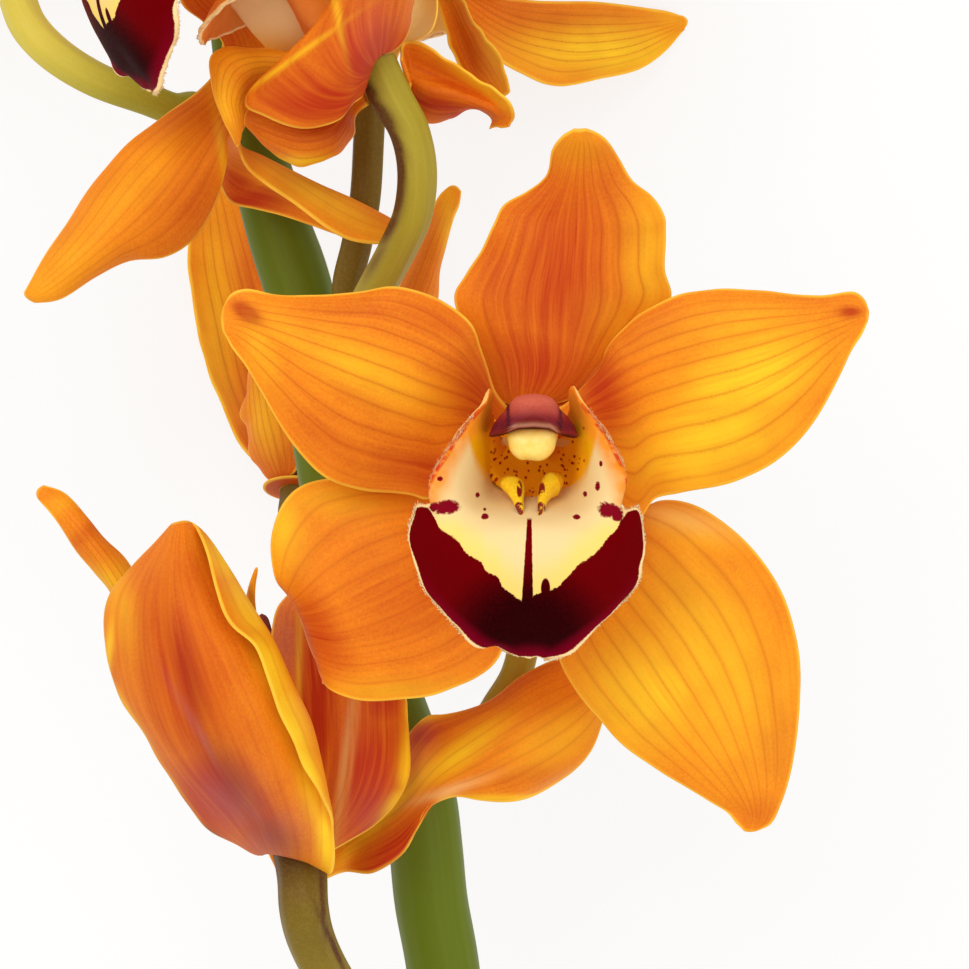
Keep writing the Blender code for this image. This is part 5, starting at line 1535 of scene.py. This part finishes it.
# the last places of a pedicel, in mm along its bloom's facing direction
pedicelEnds = {"upper": (1.3,), "lower_left": (-3.0, 1.3)}
budShapes = {
    "bud_side": (
        (214, -170, -36), (226, -205, -32), (238, -250, -28), (246, -300, -26), (250, -350, -26),
        (250, -392, -28)),
    "bud_end": (
        (189, -263, -41), (182, -300, -41), (170, -345, -42), (158, -395, -44), (146, -445, -47),
        (138, -482, -50)),
}
budRadii = (
    (0.0, 1.3), (0.3, 1.4), (0.42, 2.4), (0.55, 4.6), (0.7, 5.6), (0.85, 4.8), (0.95, 2.6), (1.0, 0.9))


def makePedicel(bloom):
    route, radii = pedicels[bloom.name]
    ends = [bloom.put((0, 0, along)) for along in pedicelEnds.get(bloom.name, (-7.0, -3.0, 1.3))]
    path, radius = branch(route, radii, ends)
    grooved = 0.035 if bloom.name != "main" else 0.02

    def profile(angle, share):
        # six ribs that twist along the ovary
        ribs = grooved * np.cos(6 * angle + 3.0 * share) * np.clip(share * 3, 0, 1)
        return 1.0 + ribs + 0.015 * np.sin(2 * angle)

    tint = pedicelTints.get(bloom.name, ((0.0, 0.1), (1.0, 0.1)))
    material = materials["paleSkin" if bloom.name == "top_left" else "pedicel"]
    tubePiece(bloom.name + "_pedicel_skin", path, radius, 48, [bloom.name + "_pedicel"], material,
              profile, lambda share: np.interp(share, *zip(*tint)),
              patches=pedicelPatches.get(bloom.name, ()))


for bloom in blooms.values():
    makePedicel(bloom)


def makeBud(name):
    path, radius = branch(budShapes[name], budRadii)
    radius = np.convolve(np.pad(radius, 4, mode="edge"), np.ones(9) / 9, mode="valid")

    def profile(angle, share):
        # three sepals pressed together: a groove at each seam, deepest in the bud's middle
        seam = np.abs(np.cos(1.5 * angle + 0.8 * share)) ** 0.35
        return 1.0 - 0.1 * (1 - seam) * np.clip((share - 0.4) * 5, 0, 1)

    tubePiece(name + "_skin", path, radius, 72, [name], materials["bud"], profile,
              lambda share: 0.6 * np.clip(share * 2 - 1, 0, 1))


for name in budShapes:
    makeBud(name)
print("stem, pedicels and buds made")


# The column: an arched hood over a cream pollen cap, in a bloom's own frame

columnShape = {
    # share of its length, up, facing, half width, half height of the round part
    "sections": (
        (0.0, 0.2, 1.8, 2.3, 2.1), (0.35, 1.4, 8.5, 2.7, 2.4), (0.6, 1.8, 14.0, 4.4, 3.0),
        (0.8, 1.9, 17.6, 5.0, 3.2), (1.0, 2.0, 21.0, 5.0, 3.2)),
    # the hood's outline from in front, mm right of and above the hub
    "front": (
        (6.5, -0.85), (5.9, 0.6), (4.95, 1.9), (4.05, 2.7), (3.6, 3.5), (3.0, 4.25), (2.1, 4.7),
        (0.4, 4.95), (-1.2, 4.8), (-2.3, 4.4), (-2.95, 3.65), (-3.3, 2.9), (-4.2, 2.1), (-5.1, 1.0),
        (-5.95, -0.85), (-5.5, -1.15), (-4.6, -0.75), (-3.3, -0.5), (-2.5, 0.1), (0.3, 0.3), (2.6, 0.1),
        (3.4, -0.45), (4.4, -0.7), (5.6, -1.1), (6.2, -1.15)),
    # its lower edge, from left to right
    "lowerLine": ((-5.8, -1.0), (-4.6, -0.75), (-3.3, -0.45), (-2.5, 0.15), (0.3, 0.35), (2.6, 0.15),
                  (3.4, -0.4), (4.4, -0.7), (6.3, -1.0)),
    # a dusk darkens a bloom's whole column with painted shade
    "frontCentre": (0.35, 1.7), "nose": 3.4, "slender": {"lower_left": 0.45}, "dusk": {"lower_left": 0.7},
    "capCentre": (0.1, -1.95, 19.3), "capHalf": (3.25, 2.25, 2.3),
}


def ownToBloom(bloom, own):
    # the column keeps its share of a smaller bloom, and may stand out further
    own = own.copy()
    slender = columnShape["slender"].get(bloom.name, 1.0)
    own[..., :2] *= slender
    own[..., 2] *= 1 - 0.06 * (slender < 1)
    own[..., 2] = 1.8 + (own[..., 2] - 1.8) * bloom.column / bloom.lip
    return bloom.put(own * bloom.lip)


def closedRings(name, bloom, own, replaced, material, values):
    # rings joined into a skin and closed at both ends
    rings = own.shape[:2]
    tips = np.stack([own[0].mean(axis=0), own[-1].mean(axis=0)])
    places = ownToBloom(bloom, np.concatenate([own.reshape(-1, 3), tips]))
    values = {key: np.concatenate([np.broadcast_to(v, rings).ravel(), [v.min(), v[-1].mean()]])
              for key, v in values.items()}
    finishPiece(name, places, closedFaces(*rings), replaced, material, None, values)


def makeColumn(bloom):
    # rings that pass from an oval to the hood's outline; the last ones shrink as a ball does
    rings, around = 90, 150
    share = np.linspace(0.0, 1.0, rings)
    angle = np.linspace(0.0, 2 * math.pi, around, endpoint=False)
    sections = np.array(columnShape["sections"])
    up, facing, wide, high = (np.interp(share, sections[:, 0], sections[:, k])[:, None] for k in range(1, 5))
    centre = np.array(columnShape["frontCentre"])
    outline = np.array(columnShape["front"]) - centre
    between = np.linspace(0.0, 1.0, 8, endpoint=False)[:, None]
    outline = (outline[:, None] + (np.roll(outline, -1, axis=0) - outline)[:, None] * between).reshape(-1, 2)
    turns = np.arctan2(outline[:, 1], outline[:, 0])
    order = np.argsort(turns)
    size = np.interp(angle, turns[order], np.hypot(*outline.T)[order], period=2 * math.pi)[None]
    size = (size + 0.6 * (np.roll(size, 1) + np.roll(size, -1))) / 2.2
    grow = np.clip((share - 0.35) / 0.4, 0, 1)[:, None]
    grow = grow * grow * (3 - 2 * grow)
    cosine, sine = np.cos(angle)[None], np.sin(angle)[None]
    k = np.clip((share - 0.78) / 0.22, 0, 1)[:, None]
    closing = np.sqrt(np.clip(1 - k ** 2.4, 0, 1)) * 0.98 + 0.02
    closing = closing * (0.15 + 0.85 * np.clip(share * 14, 0, 1) ** 0.5)[:, None]
    x = grow * (centre[0] + cosine * size * closing) + (1 - grow) * cosine * wide * closing
    y = grow * (centre[1] + 0.6 * k + sine * size * closing) + (1 - grow) * (up + sine * high * closing)
    # seams part the cap from the wings
    seam = np.exp(-((x + 3.2) / 0.2) ** 2) + np.exp(-((x - 3.95) / 0.2) ** 2)
    seam = seam * grow * (y > 0) * (share[:, None] > 0.6)
    wing = np.clip(np.maximum(-3.25 - x, x - 4.0) / 0.8, 0, 1)
    nose = columnShape["nose"] * (np.sqrt(np.clip(1 - (1 - k) ** 2, 0, 1))) * grow
    z = facing + nose - 1.6 * wing * k - 0.25 * seam
    own = np.stack([x, y, z + 0 * x], axis=-1)
    front = np.clip((share - 0.62) * 8, 0, 1)[:, None]
    lower = np.interp(x, *zip(*columnShape["lowerLine"]))
    rim = np.exp(-((y - lower) / 0.22) ** 2) * front
    inCap = np.abs(x - 0.3) < 3.3
    strip = np.exp(-((y - lower - 0.42) / 0.3) ** 2) * inCap * front
    shadeLow = np.exp(-((y - lower - 1.3) / 0.8) ** 2) * 0.5 * front
    # painted shade: in the seams, on the rim outside the cap, a little on the wings and in a band under the
    # cap's lower line; a dusk adds more over the whole column
    dark = seam * 1.4 + rim * (1 - inCap) + 0.2 * wing * front + shadeLow
    closedRings(bloom.name + "_column_skin", bloom, own, [bloom.name + "_column"], materials["column"], {
        "under": np.clip(0.5 - sine * 1.5, 0, 1) * (1 - front), "strip": strip * 0.9,
        "pale": np.clip((y - 1.5) / 2.6, 0, 1) * (1 - 0.6 * wing) * front + 0.2 * (1 - front),
        "dark": np.clip(dark + columnShape["dusk"].get(bloom.name, 0), 0, 1)})


def makePollenCap(bloom):
    # a ball with squared sides, flatter above, with a notch in its lower edge
    v = np.linspace(0.02, math.pi - 0.02, 36)[:, None]
    u = np.linspace(0.0, 2 * math.pi, 60, endpoint=False)[None]
    half = columnShape["capHalf"]
    notch = 1 - 0.09 * np.exp(-((u - 1.46 * math.pi) / 0.16) ** 2)

    def squared(w, power):
        return np.sign(w) * np.abs(w) ** power
    x = half[0] * np.sin(v) ** 0.8 * squared(np.cos(u), 0.6) * (1 + 0.24 * np.sin(u))
    y = half[1] * np.sin(v) ** 0.8 * squared(np.sin(u), 0.78) * notch
    own = np.stack([x, y, -half[2] * np.cos(v) + 0 * u], axis=-1) + np.array(columnShape["capCentre"])
    plain = {"red": np.zeros(own.shape[:2])}
    closedRings(bloom.name + "_pollen_cap", bloom, own, [], materials["pollen"], plain)


for bloom in blooms.values():
    makeColumn(bloom)
    makePollenCap(bloom)
print("columns made")


# Table and light

studio = {
    "table": (0.225, 0.225, 0.225, 1.0), "roughness": 0.85, "half": 3.0, "level": -0.0006,
    "glow": (1.0, 1.0, 0.99, 1.0), "glowStrength": 0.75,
    "world": (1.0, 1.0, 1.0, 1.0), "worldStrength": 0.82,
    # place, width and power of each lamp, and the place that both face
    "key": ((-0.35, 0.5, 1.0), 0.8, 5.0), "fill": ((0.7, -0.3, 0.9), 0.8, 2.5), "target": (0.03, 0.04, 0.08),
}


def makeStudio():
    mesh = bpy.data.meshes.new("table")
    far, level = studio["half"], studio["level"]
    corners = [(-far, -far, level), (far, -far, level), (far, far, level), (-far, far, level)]
    mesh.from_pydata(corners, [], [(0, 1, 2, 3)])
    # the table glows a little, so that the shadows stay faint
    shader = Shader("table", {"Specular IOR Level": 0.1, "Emission Color": studio["glow"],
                              "Emission Strength": studio["glowStrength"]})
    mesh.materials.append(shader.finish(studio["table"], studio["roughness"]))
    table = bpy.data.objects.new("table", mesh)
    bpy.context.scene.collection.objects.link(table)
    world = bpy.data.worlds.new("studio")
    bpy.context.scene.world = world
    world.use_nodes = True
    background = world.node_tree.nodes["Background"]
    background.inputs[0].default_value = studio["world"]
    background.inputs[1].default_value = studio["worldStrength"]
    for name in ("key", "fill"):
        where, size, power = studio[name]
        light = bpy.data.lights.new(name, "AREA")
        light.size, light.energy = size, power
        obj = bpy.data.objects.new(name, light)
        obj.location = where
        x, y, z = np.array(studio["target"]) - np.array(where)
        obj.rotation_euler = (math.atan2(math.hypot(x, y), -z), 0.0, math.atan2(y, x) - math.pi / 2)
        bpy.context.scene.collection.objects.link(obj)
    bpy.context.scene.view_settings.view_transform = "Standard"


makeStudio()
print("studio made")
